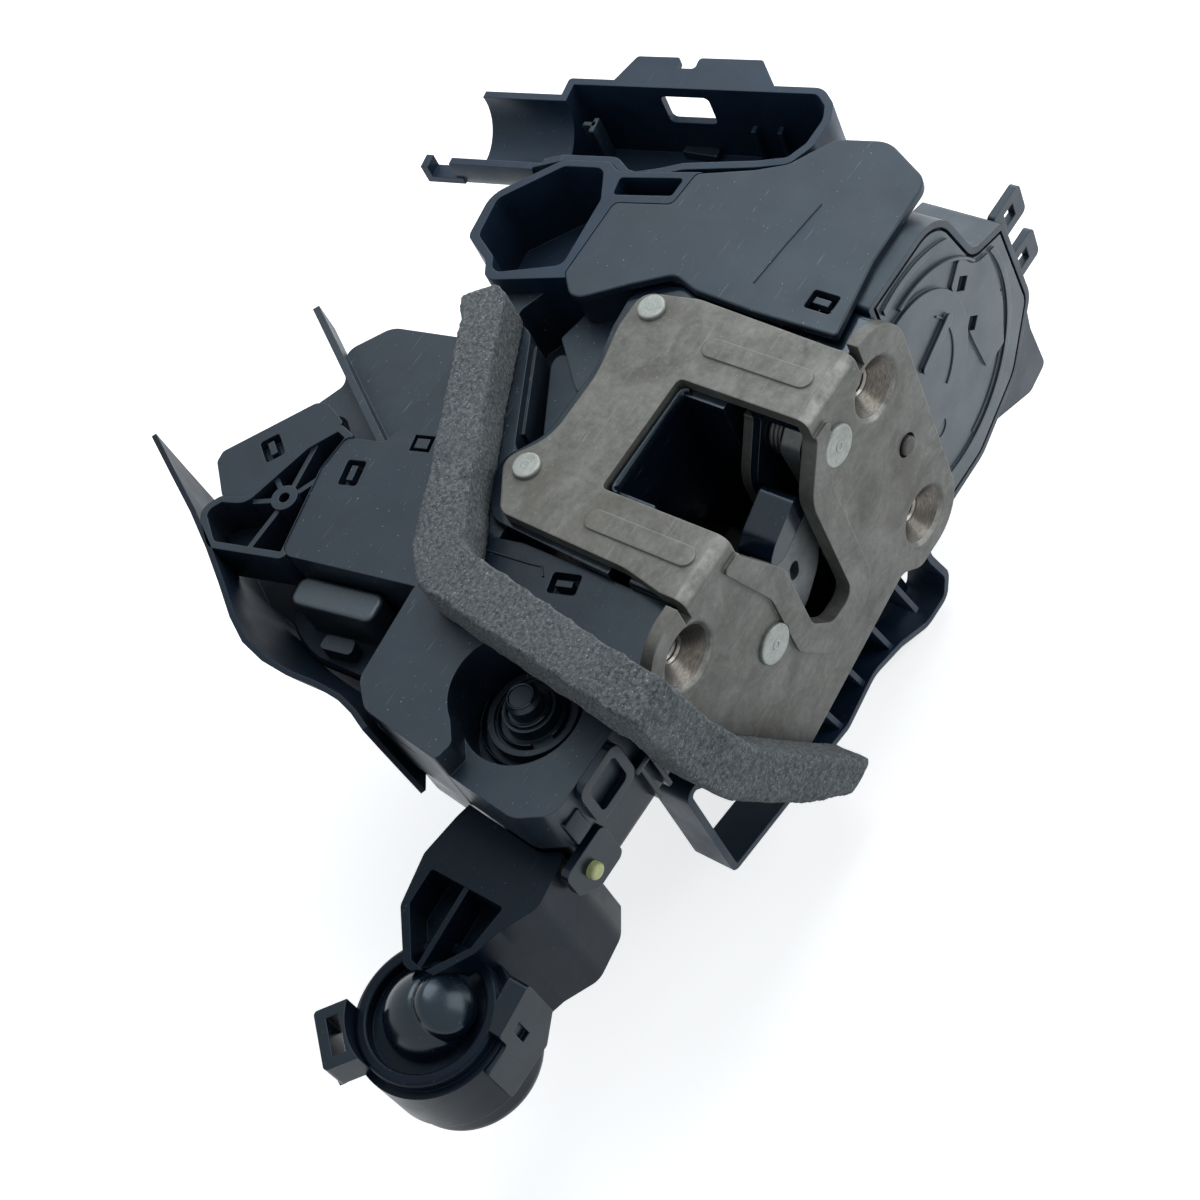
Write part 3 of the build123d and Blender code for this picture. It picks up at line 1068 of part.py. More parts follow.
# Wing plate with its pointed fin, behind the deck
WING_TOP = 2.0
WING_T = 2.0
WING_OUTLINE = [
    (-38.0, 131.7), (-27.5, 124.0), (-22.0, 95.0), (-50.0, 91.0), (-61.0, 95.0), (-62.5, 108.0), (-54.0, 118.0), (-57.5, 130.0),
    (-46.3, 124.9),
]
FIN_FROM = (-60.0, 97.0)
FIN_TO = (-33.0, 142.0)
FIN_T = 1.8
FIN_TOP = 9.0
with BuildPart() as wing_plate:
    add(block(WING_OUTLINE, [4.0, 6.0, 2.0, 2.0, 2.0, 2.0, 4.0, 1.5, 3.0], WING_TOP - WING_T, WING_TOP))
    with BuildSketch(level(WING_TOP - WING_T)):
        with BuildLine():
            Line(FIN_FROM, FIN_TO)
        trace(line_width=FIN_T)
    extrude(amount=FIN_TOP - WING_TOP + WING_T)
    add(block(SIDE_PANEL, SIDE_PANEL_CORNERS, PANEL_LOW, DECK_TOP + 1), mode=Mode.SUBTRACT)
    add(block(CLIP_COVER, CLIP_COVER_CORNERS, CLIP_COVER_LOW, FRAME_TOP), mode=Mode.SUBTRACT)
    add(block(FRAME_OUTLINE, FRAME_CORNERS, CLIP_COVER_LOW, FRAME_TOP), mode=Mode.SUBTRACT)
wing_plate.part.label = "wing_plate"
export_step(wing_plate.part, "parts/wing_plate.step")

# Close drive: cover with a raised block and a round recess, above its case
DRIVE_OUTLINE = [
    (DRIVE_RIGHT, 64.0), (-113.7, 61.5), (-118.3, 55.0), (-122.5, 13.0), (-118.0, 5.0), (DRIVE_RIGHT, 5.0),
]
DRIVE_CORNERS = [3.0, 5.0, 6.0, 6.0, 5.0, 1.0]
DRIVE_BASE = 2.0
DRIVE_SPLIT = -12.0
DRIVE_LOW = -30.0
DRIVE_BLOCK = [
    (DRIVE_RIGHT, 38.0), (DRIVE_RIGHT, 64.0), (-112.5, 61.0), (-118.0, 55.0), (-120.8, 32.0), (-116.0, 31.0),
    (-108.0, 38.0),
]
DRIVE_BLOCK_CORNERS = [1.0, 3.0, 5.0, 6.0, 1.5, 2.0, 8.0]
DRIVE_LEDGE = [(DRIVE_RIGHT, 5.0), (DRIVE_RIGHT, 41.0), (-90.0, 41.0), (-90.0, 5.0)]
RECESS_AT = (-100.0, 27.0)
RECESS_R = 14.0
RECESS_FLOOR = -8.0
DRUM_AT = (-98.5, 28.5)
DRUM_STEPS = [(10.5, -4.5), (9.0, -5.5), (6.2, -2.0), (3.9, 2.6)]
DRUM_TIP = 1.2
with BuildPart() as close_drive_cover:
    add(block(DRIVE_OUTLINE, DRIVE_CORNERS, DRIVE_SPLIT, DRIVE_BASE))
    add(block(DRIVE_BLOCK, DRIVE_BLOCK_CORNERS, DRIVE_SPLIT, DECK_TOP))
    with BuildSketch(level(RECESS_FLOOR)):
        with Locations(RECESS_AT):
            Circle(RECESS_R)
    extrude(amount=DECK_TOP - RECESS_FLOOR, mode=Mode.SUBTRACT)
    add(block(DRIVE_LEDGE, 0.5, DRIVE_SPLIT, DECK_TOP))
    with BuildSketch(Plane(origin=(DRUM_AT[0], FACE_Y + DRUM_AT[1], 0), x_dir=(1, 0, 0), z_dir=(0, -1, 0))):
        with BuildLine():
            Polyline(
                (0, RECESS_FLOOR), (DRUM_STEPS[0][0], RECESS_FLOOR), (DRUM_STEPS[0][0], DRUM_STEPS[0][1]),
                (DRUM_STEPS[1][0], DRUM_STEPS[0][1]), (DRUM_STEPS[1][0], DRUM_STEPS[1][1]),
                (DRUM_STEPS[2][0], DRUM_STEPS[1][1]), (DRUM_STEPS[2][0], DRUM_STEPS[2][1]),
                (DRUM_STEPS[3][0], DRUM_STEPS[2][1]), (DRUM_STEPS[3][0], DRUM_STEPS[3][1] - DRUM_TIP),
                (DRUM_STEPS[3][0] - DRUM_TIP, DRUM_STEPS[3][1]), (0, DRUM_STEPS[3][1]), close=True,
            )
        make_face()
    revolve(axis=Axis((DRUM_AT[0], FACE_Y + DRUM_AT[1], 0), (0, 0, 1)))
    add(block(SIDE_COVER, SIDE_COVER_CORNERS, DRIVE_SPLIT, DECK_TOP), mode=Mode.SUBTRACT)
    add(block(SIDE_PANEL, SIDE_PANEL_CORNERS, DRIVE_SPLIT, DECK_TOP), mode=Mode.SUBTRACT)
    add(slab(TRAY_OUTLINE, TRAY_CORNERS, TRAY_FRONT, TRAY_BACK), mode=Mode.SUBTRACT)
close_drive_cover.part.label = "close_drive_cover"
export_step(close_drive_cover.part, "parts/close_drive_cover.step")

CASE_INSET = 1.0
with BuildPart() as close_drive_case:
    with BuildSketch(level(DRIVE_LOW)):
        offset(rounded(DRIVE_OUTLINE, DRIVE_CORNERS), amount=-CASE_INSET)
    extrude(amount=DRIVE_SPLIT - DRIVE_LOW)
    fillet(close_drive_case.edges().group_by(Axis.Z)[0], radius=3.0)
    add(slab(TRAY_OUTLINE, TRAY_CORNERS, TRAY_FRONT, TRAY_BACK), mode=Mode.SUBTRACT)
close_drive_case.part.label = "close_drive_case"
export_step(close_drive_case.part, "parts/close_drive_case.step")

# Splash shield: thin curved wall with the floor that carries the connector
SHIELD_LINE = [
    (-81.4, 158.0), (-94.6, 131.2), (-106.8, 110.8), (-117.5, 93.5), (-119.3, 78.0), (-118.2, 66.0), (-122.3, 51.8),
]
SHIELD_T = 1.8
SHIELD_TOP = 10.0
SHIELD_LOW = -20.0
SHIELD_FLOOR_T = 2.0
FLOOR_OUTLINE = [
    (-99.5, 112.0), (-107.4, 110.5), (-117.5, 93.5), (-119.0, 80.0), (-118.4, 58.0), (-86.0, 58.0), (-92.0, 101.0), (-98.0, 102.0),
]
FLOOR_CORNERS = [1.0, 1.0, 14.0, 10.0, 1.0, 1.0, 1.0, 1.0]

# Ledge that carries the connector
FLOOR_TOP = -8.0
LEDGE_OUTLINE = [
    (-90.0, 102.5), (-103.0, 105.5), (-112.5, 98.5), (-113.5, 90.0), (-109.0, 66.5), (-100.0, 61.0), (-86.0, 61.0),
]
LEDGE_CORNERS = [1.0, 4.0, 5.0, 8.0, 4.0, 2.0, 1.0]
with BuildPart() as splash_shield:
    with BuildSketch(level(SHIELD_LOW)):
        with BuildLine():
            FilletPolyline(*SHIELD_LINE, radius=[60.0, 60.0, 20.0, 30.0, 14.0])
        trace(line_width=SHIELD_T)
    extrude(amount=SHIELD_TOP - SHIELD_LOW)
    add(block(FLOOR_OUTLINE, FLOOR_CORNERS, SHIELD_LOW, SHIELD_LOW + SHIELD_FLOOR_T))
    add(block(LEDGE_OUTLINE, LEDGE_CORNERS, SHIELD_LOW, FLOOR_TOP))
    add(block(DRIVE_OUTLINE, DRIVE_CORNERS, SHIELD_LOW, SHIELD_TOP), mode=Mode.SUBTRACT)
    add(block(SIDE_PANEL, SIDE_PANEL_CORNERS, SHIELD_LOW, SHIELD_TOP), mode=Mode.SUBTRACT)
    add(block(FRAME_OUTLINE, FRAME_CORNERS, SHIELD_LOW, SHIELD_TOP), mode=Mode.SUBTRACT)
splash_shield.part.label = "splash_shield"
export_step(splash_shield.part, "parts/splash_shield.step")

# Connector block and the tab beside it
CONNECTOR = [(-95.0, 97.4), (-91.0, 73.6), (-98.5, 72.8), (-102.3, 95.7)]
CONNECTOR_TOP = 4.0
TAB = [(-102.8, 87.7), (-101.2, 79.5), (-105.0, 78.2), (-106.6, 87.2)]
TAB_TOP = -4.0
with BuildPart() as connector_block:
    add(block(CONNECTOR, 2.5, FLOOR_TOP, CONNECTOR_TOP))
    fillet(connector_block.edges().group_by(Axis.Z)[-1], radius=1.0)
    add(block(SIDE_PANEL, SIDE_PANEL_CORNERS, FLOOR_TOP, CONNECTOR_TOP), mode=Mode.SUBTRACT)
connector_block.part.label = "connector_block"
export_step(connector_block.part, "parts/connector_block.step")

with BuildPart() as connector_tab:
    add(block(TAB, 1.2, FLOOR_TOP, TAB_TOP))
connector_tab.part.label = "connector_tab"
export_step(connector_tab.part, "parts/connector_tab.step")

# Hook, bracket and pin in front of the close drive
HOOK_AT = (-105.0, -5.0)
HOOK_W = 14.0
HOOK_H = 14.0
HOOK_T = 2.0
HOOK_BAR = 2.4
HOOK_CORNER = 3.0
DRIVE_FRONT = 5.0
with BuildPart() as drive_snap_hook:
    with BuildSketch(upright(DRIVE_FRONT - HOOK_T)):
        with Locations(HOOK_AT):
            RectangleRounded(HOOK_W, HOOK_H, HOOK_CORNER)
            RectangleRounded(HOOK_W - 2 * HOOK_BAR, HOOK_H - 2 * HOOK_BAR, HOOK_CORNER / 2, mode=Mode.SUBTRACT)
    extrude(amount=-HOOK_T)
drive_snap_hook.part.label = "drive_snap_hook"
export_step(drive_snap_hook.part, "parts/drive_snap_hook.step")

BRACKET = [(-125.0, -13.5), (-111.0, -13.5), (-111.0, -27.0), (-120.0, -27.0), (-125.0, -22.0)]
BRACKET_PIN = (-119.0, -20.0)
BRACKET_PIN_R = 2.0
BRACKET_PIN_OUT = 2.0
BRACKET_FRONT = DRIVE_FRONT + CASE_INSET - HOOK_T
with BuildPart() as drive_bracket:
    add(slab(BRACKET, 2.0, BRACKET_FRONT, BRACKET_FRONT + HOOK_T))
    with BuildSketch(upright(BRACKET_FRONT)):
        with Locations(BRACKET_PIN):
            Circle(BRACKET_PIN_R)
    extrude(amount=-HOOK_T, mode=Mode.SUBTRACT)
drive_bracket.part.label = "drive_bracket"
export_step(drive_bracket.part, "parts/drive_bracket.step")

with BuildPart() as bracket_pin:
    with BuildSketch(upright(BRACKET_FRONT - BRACKET_PIN_OUT)):
        with Locations(BRACKET_PIN):
            Circle(BRACKET_PIN_R)
    extrude(amount=-(BRACKET_PIN_OUT + HOOK_T))
    fillet(bracket_pin.edges().group_by(Axis.Y)[0], radius=0.8)
bracket_pin.part.label = "bracket_pin"
export_step(bracket_pin.part, "parts/bracket_pin.step")

# Drive cup with its collar, the dome on it, and the neck to the close drive
CUP_AT = (-162.0, 19.0)
CUP_R = 18.0
CUP_TOP = -24.0
CUP_LOW = -50.0
FOOT_R = 17.0
FOOT_TOP = -40.0
FOOT_ROUND = 5.0
COLLAR_R = 16.2
COLLAR_IN_R = 13.4
COLLAR_TOP = -21.0
DOME_R = 11.8
with BuildPart() as drive_cup:
    with BuildSketch(level(CUP_LOW)):
        with Locations(CUP_AT):
            Circle(FOOT_R)
    extrude(amount=FOOT_TOP - CUP_LOW)
    fillet(drive_cup.edges().group_by(Axis.Z)[0], radius=FOOT_ROUND)
    with BuildSketch(level(FOOT_TOP)):
        with Locations(CUP_AT):
            Circle(CUP_R)
    extrude(amount=CUP_TOP - FOOT_TOP)
    with BuildSketch(level(CUP_TOP)):
        with Locations(CUP_AT):
            Circle(COLLAR_R)
            Circle(COLLAR_IN_R, mode=Mode.SUBTRACT)
    extrude(amount=COLLAR_TOP - CUP_TOP)
    fillet(drive_cup.edges().group_by(Axis.Z)[-1], radius=0.8)
drive_cup.part.label = "drive_cup"
export_step(drive_cup.part, "parts/drive_cup.step")

with BuildPart() as dome_cap:
    with Locations((CUP_AT[0], FACE_Y + CUP_AT[1], CUP_TOP)):
        Sphere(DOME_R)
    split(bisect_by=level(CUP_TOP), keep=Keep.TOP)
dome_cap.part.label = "dome_cap"
export_step(dome_cap.part, "parts/dome_cap.step")

NECK_OUTLINE = [
    (-134.3, 37.5), (-124.0, 36.0), (-116.0, 34.0), (-116.0, 12.0), (-122.3, 7.5), (-133.0, 6.0), (-141.0, 10.5),
    (-147.5, 12.5), (-157.6, 19.0), (-157.0, 25.5), (-146.5, 34.8),
]
NECK_TOP = -14.0
NECK_LOW = -52.0
NECK_CORNERS = [3.0, 10.0, 1.0, 1.0, 6.0, 6.0, 3.0, 2.0, 1.5, 2.0, 3.0]
FUNNEL = [(-136.4, 33.6), (-145.2, 33.1), (-155.2, 24.6), (-156.0, 20.3), (-146.8, 14.0), (-136.4, 13.0)]
FUNNEL_CORNERS = 0.8
FUNNEL_DEPTH = 9.0
FUNNEL_RIB = [(-136.0, 23.7), (-157.0, 22.3)]
FUNNEL_RIB_T = 1.3
FUNNEL_RIB_SET = 0.5
with BuildPart() as drive_neck:
    add(block(NECK_OUTLINE, NECK_CORNERS, NECK_LOW, NECK_TOP))
    add(block(FUNNEL, FUNNEL_CORNERS, NECK_TOP - FUNNEL_DEPTH, NECK_TOP), mode=Mode.SUBTRACT)
    with BuildSketch(level(NECK_TOP - FUNNEL_DEPTH)):
        with BuildLine():
            Line(*FUNNEL_RIB)
        trace(line_width=FUNNEL_RIB_T)
        add(rounded(NECK_OUTLINE, NECK_CORNERS), mode=Mode.INTERSECT)
    extrude(amount=FUNNEL_DEPTH - FUNNEL_RIB_SET)
    with BuildSketch(level(CUP_LOW)):
        with Locations(CUP_AT):
            Circle(CUP_R)
    extrude(amount=CUP_TOP - CUP_LOW, mode=Mode.SUBTRACT)
    with BuildSketch(level(CUP_TOP)):
        with Locations(CUP_AT):
            Circle(COLLAR_R)
    extrude(amount=COLLAR_TOP - CUP_TOP, mode=Mode.SUBTRACT)
    with Locations((CUP_AT[0], FACE_Y + CUP_AT[1], CUP_TOP)):
        Sphere(DOME_R, mode=Mode.SUBTRACT)
    add(block(DRIVE_OUTLINE, DRIVE_CORNERS, DRIVE_LOW, NECK_TOP), mode=Mode.SUBTRACT)
drive_neck.part.label = "drive_neck"
export_step(drive_neck.part, "parts/drive_neck.step")

SIDE_CLIP_TURN = 140.0
SIDE_CLIP = (9.0, 14.0)
SIDE_CLIP_ROUND = 1.0
SIDE_CLIP_TOP = -16.0
SIDE_CLIP_AT = polar(CUP_AT, CUP_R, SIDE_CLIP_TURN)
SIDE_CLIP_SLOT_AT = polar(CUP_AT, CUP_R + 0.5, SIDE_CLIP_TURN)
EAR_AT = polar(CUP_AT, CUP_R + 4.5, SIDE_CLIP_TURN)
EAR_LOW = -26.0
EAR_TOP = -11.0
with BuildPart() as side_clip:
    with BuildSketch(level(CUP_TOP)):
        with Locations(SIDE_CLIP_AT):
            RectangleRounded(SIDE_CLIP[0], SIDE_CLIP[1], SIDE_CLIP_ROUND, rotation=SIDE_CLIP_TURN)
        with Locations(CUP_AT):
            Circle(COLLAR_R, mode=Mode.SUBTRACT)
        with Locations(SIDE_CLIP_SLOT_AT):
            Rectangle(SIDE_CLIP[0] / 3, SIDE_CLIP[0], rotation=SIDE_CLIP_TURN, mode=Mode.SUBTRACT)
    extrude(amount=SIDE_CLIP_TOP - CUP_TOP)
    with BuildSketch(level(EAR_LOW)):
        with Locations(EAR_AT):
            Rectangle(1.6, 12.0, rotation=SIDE_CLIP_TURN)
    extrude(amount=EAR_TOP - EAR_LOW, taper=10)
side_clip.part.label = "side_clip"
export_step(side_clip.part, "parts/side_clip.step")

RETAINER = [
    (-166.0, -24.5), (-159.0, -24.5), (-159.0, -20.0), (-147.0, -18.0), (-147.0, -32.0), (-153.0, -38.0), (-166.0, -38.0),
]
RETAINER_FRONT = 0.0
RETAINER_T = 5.0
RETAINER_SLOT_AT = (-155.0, -26.0)
RETAINER_SLOT = (2.4, 6.0)
RETAINER_SLOT_DEPTH = 1.2
with BuildPart() as retainer_clip:
    add(slab(RETAINER, 1.0, RETAINER_FRONT, RETAINER_FRONT + RETAINER_T))
    with BuildSketch(upright(RETAINER_FRONT)):
        with Locations(RETAINER_SLOT_AT):
            Rectangle(*RETAINER_SLOT)
    extrude(amount=-RETAINER_SLOT_DEPTH, mode=Mode.SUBTRACT)
    with BuildSketch(level(CUP_LOW)):
        with Locations(CUP_AT):
            Circle(CUP_R)
    extrude(amount=CUP_TOP - CUP_LOW, mode=Mode.SUBTRACT)
    with BuildSketch(level(CUP_TOP)):
        with Locations(CUP_AT):
            Circle(COLLAR_R)
    extrude(amount=NECK_TOP - CUP_TOP, mode=Mode.SUBTRACT)
    add(block(NECK_OUTLINE, NECK_CORNERS, NECK_LOW, NECK_TOP), mode=Mode.SUBTRACT)
retainer_clip.part.label = "retainer_clip"
export_step(retainer_clip.part, "parts/retainer_clip.step")
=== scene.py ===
import math

import bmesh
import bpy
from mathutils import Matrix, Vector, noise


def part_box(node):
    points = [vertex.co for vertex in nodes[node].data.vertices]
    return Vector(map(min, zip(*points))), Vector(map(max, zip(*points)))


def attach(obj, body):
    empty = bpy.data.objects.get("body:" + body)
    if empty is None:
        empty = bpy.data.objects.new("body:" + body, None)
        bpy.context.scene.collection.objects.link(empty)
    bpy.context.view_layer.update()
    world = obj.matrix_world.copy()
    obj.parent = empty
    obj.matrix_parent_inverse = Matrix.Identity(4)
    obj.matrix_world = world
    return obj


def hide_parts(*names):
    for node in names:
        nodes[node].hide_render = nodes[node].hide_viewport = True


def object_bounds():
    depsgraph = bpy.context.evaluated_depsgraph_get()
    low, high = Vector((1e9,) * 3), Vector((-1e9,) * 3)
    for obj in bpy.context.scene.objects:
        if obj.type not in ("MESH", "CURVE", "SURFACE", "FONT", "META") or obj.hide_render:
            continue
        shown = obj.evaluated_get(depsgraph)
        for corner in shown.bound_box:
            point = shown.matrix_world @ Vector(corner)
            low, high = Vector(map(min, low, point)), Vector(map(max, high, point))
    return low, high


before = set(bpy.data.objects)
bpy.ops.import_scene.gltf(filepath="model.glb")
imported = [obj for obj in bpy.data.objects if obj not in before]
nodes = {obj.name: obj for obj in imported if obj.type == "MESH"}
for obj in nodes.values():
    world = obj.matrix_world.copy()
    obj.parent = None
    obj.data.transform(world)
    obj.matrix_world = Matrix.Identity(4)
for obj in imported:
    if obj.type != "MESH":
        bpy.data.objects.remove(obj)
cad_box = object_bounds()

# Sizes that follow the part, in metres: X and Z lie in the face plate, Y runs into the door
MM = 0.001
FACE_Y = -0.0056
SCREWS = [(0.0, 0.0), (-0.0005, -0.0489), (-0.0749, 0.0015)]
THREAD_R = 0.0034
THREAD_START = 0.0046
THREAD_PITCH = 0.00125
SEAT_DEPTH = 0.012
CLAW_PIVOT = (-0.055, -0.0236)
PAWL_PIVOT = (-0.0166, 0.0005)

# Sizes that follow the part, in mm: depth is measured from the front of the face plate
RIVETS = [(-7.3, 51.3), (-54.4, 53.6)]
FLANGE_TOP = 15.0
HEAD_RISE = 1.0
SIDE_COVER_TOP = 9.7
COVER_FACE = 4.6
CASE_FRONT = 6.4
DRUM = (-98.5, 28.5)

# Colours
BLACK = (0.0045, 0.0085, 0.0165)
# Deep black: the colour of glossy black parts, and also a darker copy of the plastic that paints shade on
# the low and shaded parts
DEEP_BLACK = (0.0025, 0.0060, 0.0130)
# Painted shade: the blue cast that shade has, painted into the colour of the trough, cable pocket and edge
# frame
PAINTED_SHADE_BLUE = (0.0035, 0.0110, 0.0260)
# Paler black of the wing plate
PALE_BLACK = (0.0110, 0.0160, 0.0250)
# Painted sheen: a lighter black that stands in for the sheen on the gear cover and connector block
PAINTED_SHEEN = (0.0110, 0.0155, 0.0210)
DUST = (0.20, 0.21, 0.22)
DUST_FILM = (0.09, 0.10, 0.11)
SCRATCH = (0.15, 0.16, 0.17)
COLD_SHINE = (0.72, 0.89, 1.0)


# Shader helpers
def tree(name):
    """New material with its node tree, shader and object coordinates."""
    material = bpy.data.materials.new(name)
    material.use_nodes = True
    nt = material.node_tree
    shader = nt.nodes["Principled BSDF"]
    coords = nt.nodes.new("ShaderNodeTexCoord")
    return material, nt, shader, coords.outputs["Object"]


def grey(value):
    return (value, value, value)


def scaled(colour, factor):
    """Colour made lighter or darker, never over white."""
    return tuple(min(1.0, c * factor) for c in colour)


def noise_node(nt, vector, scale, detail=4.0, roughness=0.55, distortion=0.0):
    node = nt.nodes.new("ShaderNodeTexNoise")
    node.inputs["Scale"].default_value = scale
    node.inputs["Detail"].default_value = detail
    node.inputs["Roughness"].default_value = roughness
    node.inputs["Distortion"].default_value = distortion
    nt.links.new(vector, node.inputs["Vector"])
    return node.outputs["Fac"]


def ramp(nt, value, stops):
    """Colour ramp through stops given as (position, colour)."""
    node = nt.nodes.new("ShaderNodeValToRGB")
    elements = node.color_ramp.elements
    elements[0].position, elements[0].color = stops[0][0], (*stops[0][1], 1)
    elements[1].position, elements[1].color = stops[-1][0], (*stops[-1][1], 1)
    for position, colour in stops[1:-1]:
        element = elements.new(position)
        element.color = (*colour, 1)
    nt.links.new(value, node.inputs["Fac"])
    return node.outputs["Color"]


def grey_ramp(nt, value, start, end, first=0.0, last=1.0):
    """Grey ramp between two positions, used as a mask or as a roughness."""
    return ramp(nt, value, [(start, grey(first)), (end, grey(last))])


def mix(nt, factor, first, second, mode="MIX"):
    """Mix of two colours: each input is a socket, a colour or a number."""
    node = nt.nodes.new("ShaderNodeMix")
    node.data_type = "RGBA"
    node.blend_type = mode
    sockets = (node.inputs["Factor"], node.inputs["A"], node.inputs["B"])
    for socket, value in zip(sockets, (factor, first, second)):
        if isinstance(value, bpy.types.NodeSocket):
            nt.links.new(value, socket)
        elif isinstance(value, tuple):
            socket.default_value = (*value, 1)
        else:
            socket.default_value = value
    return node.outputs["Result"]


def faded(nt, mask, amount):
    """Mask times a number."""
    return mix(nt, 1.0, mask, grey(amount), "MULTIPLY")


def calculate(nt, operation, first, second):
    """Math node between a socket and a socket or number."""
    node = nt.nodes.new("ShaderNodeMath")
    node.operation = operation
    nt.links.new(first, node.inputs[0])
    if isinstance(second, bpy.types.NodeSocket):
        nt.links.new(second, node.inputs[1])
    else:
        node.inputs[1].default_value = second
    return node.outputs["Value"]


def bump(nt, shader, layers, normal=None):
    """Chain of bump layers given as (height, strength, distance), on a base normal."""
    for height, strength, distance in layers:
        node = nt.nodes.new("ShaderNodeBump")
        node.inputs["Strength"].default_value = strength
        node.inputs["Distance"].default_value = distance
        nt.links.new(height, node.inputs["Height"])
        if normal is not None:
            nt.links.new(normal, node.inputs["Normal"])
        normal = node.outputs["Normal"]
    nt.links.new(normal, shader.inputs["Normal"])


def stretched(nt, vector, scale, turn=(0.0, 0.0, 0.0)):
    """Coordinates that are scaled and turned, for marks that run in one direction."""
    node = nt.nodes.new("ShaderNodeMapping")
    node.inputs["Rotation"].default_value = turn
    node.inputs["Scale"].default_value = scale
    nt.links.new(vector, node.inputs["Vector"])
    return node.outputs["Vector"]


def rounded(nt, radius):
    """Normal as if the sharp edges were rounded, and a mask of those edges."""
    bevel = nt.nodes.new("ShaderNodeBevel")
    bevel.samples = 6
    bevel.inputs["Radius"].default_value = radius
    geometry = nt.nodes.new("ShaderNodeNewGeometry")
    dot = nt.nodes.new("ShaderNodeVectorMath")
    dot.operation = "DOT_PRODUCT"
    nt.links.new(bevel.outputs["Normal"], dot.inputs[0])
    nt.links.new(geometry.outputs["Normal"], dot.inputs[1])
    mask = grey_ramp(nt, dot.outputs["Value"], 0.80, 0.985, 1.0, 0.0)
    return bevel.outputs["Normal"], mask


def scratches(nt, where, turn, amount, density):
    """Mask of fine broken hairlines that run in one direction."""
    along = stretched(nt, where, (90.0, 1500.0, 1500.0), turn)
    lines = noise_node(nt, along, 1.0, 2.0, 0.5, 0.4)
    return grey_ramp(nt, lines, density, density + 0.05, last=amount)


def bend_wear(nt, where, amount):
    """Mask of rubbed patches where a sheet is bent from facing up to facing front."""
    coords = nt.nodes.new("ShaderNodeTexCoord")
    facing = nt.nodes.new("ShaderNodeSeparateXYZ")
    nt.links.new(coords.outputs["Normal"], facing.inputs[0])
    # the product is -0.5 in the middle of the bend, and the factor brings it to 1
    product = calculate(nt, "MULTIPLY", facing.outputs["Z"], facing.outputs["Y"])
    bend = calculate(nt, "MULTIPLY", product, -2.0)
    rubs = grey_ramp(nt, noise_node(nt, where, 260.0, 6.0, 0.65), 0.36, 0.62, 0.15)
    return mix(nt, 1.0, grey_ramp(nt, bend, 0.25, 0.85, last=amount), rubs, "MULTIPLY")


def seen_white(nt):
    """1 for the rays that show a thing to the camera, also by a reflection or through glass."""
    paths = nt.nodes.new("ShaderNodeLightPath")
    direct = calculate(nt, "MAXIMUM", paths.outputs["Is Camera Ray"], paths.outputs["Is Glossy Ray"])
    return calculate(nt, "MAXIMUM", direct, paths.outputs["Is Transmission Ray"])


# Materials
def plastic(name, colour, roughness, dust=0.5, grain=900.0, gloss=0.5, wave=0.0003):
    """Black moulded plastic: spark texture, flow marks, dust, scratches, and lighter edges that are partly
    wear and partly a painted highlight.
    """
    material, nt, shader, where = tree(name)
    normal, edge_mask = rounded(nt, 0.00035)
    flow = noise_node(nt, where, 35.0, 3.0, 0.5, 1.5)
    tone = ramp(nt, flow, [(0.3, scaled(colour, 0.75)), (0.7, scaled(colour, 1.35))])
    specks = noise_node(nt, where, 1400.0, 1.0, 0.4)
    tone = mix(nt, grey_ramp(nt, specks, 0.755, 0.79, last=dust), tone, DUST)
    film = noise_node(nt, where, 60.0, 6.0, 0.65, 0.8)
    tone = mix(nt, grey_ramp(nt, film, 0.48, 0.80, last=0.12 * dust), tone, DUST_FILM)
    for turn, density in (((0.3, 0.2, 0.7), 0.70), ((0.9, -0.4, -0.5), 0.72)):
        tone = mix(nt, scratches(nt, where, turn, 0.55 * dust, density), tone, SCRATCH)
    # Lighter edges: partly edge wear, partly a painted highlight along the edges
    edge_wear_and_highlight_tone = tuple(c * 3.0 + 0.012 for c in colour)
    tone = mix(nt, faded(nt, edge_mask, 0.5), tone, edge_wear_and_highlight_tone)
    nt.links.new(tone, shader.inputs["Base Color"])
    patches = noise_node(nt, where, 90.0, 4.0, 0.6)
    rough = grey_ramp(nt, patches, 0.3, 0.7, roughness - 0.06, roughness + 0.10)
    nt.links.new(rough, shader.inputs["Roughness"])
    shader.inputs["Specular IOR Level"].default_value = gloss
    shader.inputs["Specular Tint"].default_value = (*COLD_SHINE, 1)
    spark = noise_node(nt, where, grain, 2.0, 0.5)
    bump(nt, shader, [(spark, 0.22, 0.00006), (flow, 0.12, wave)], normal)
    return material


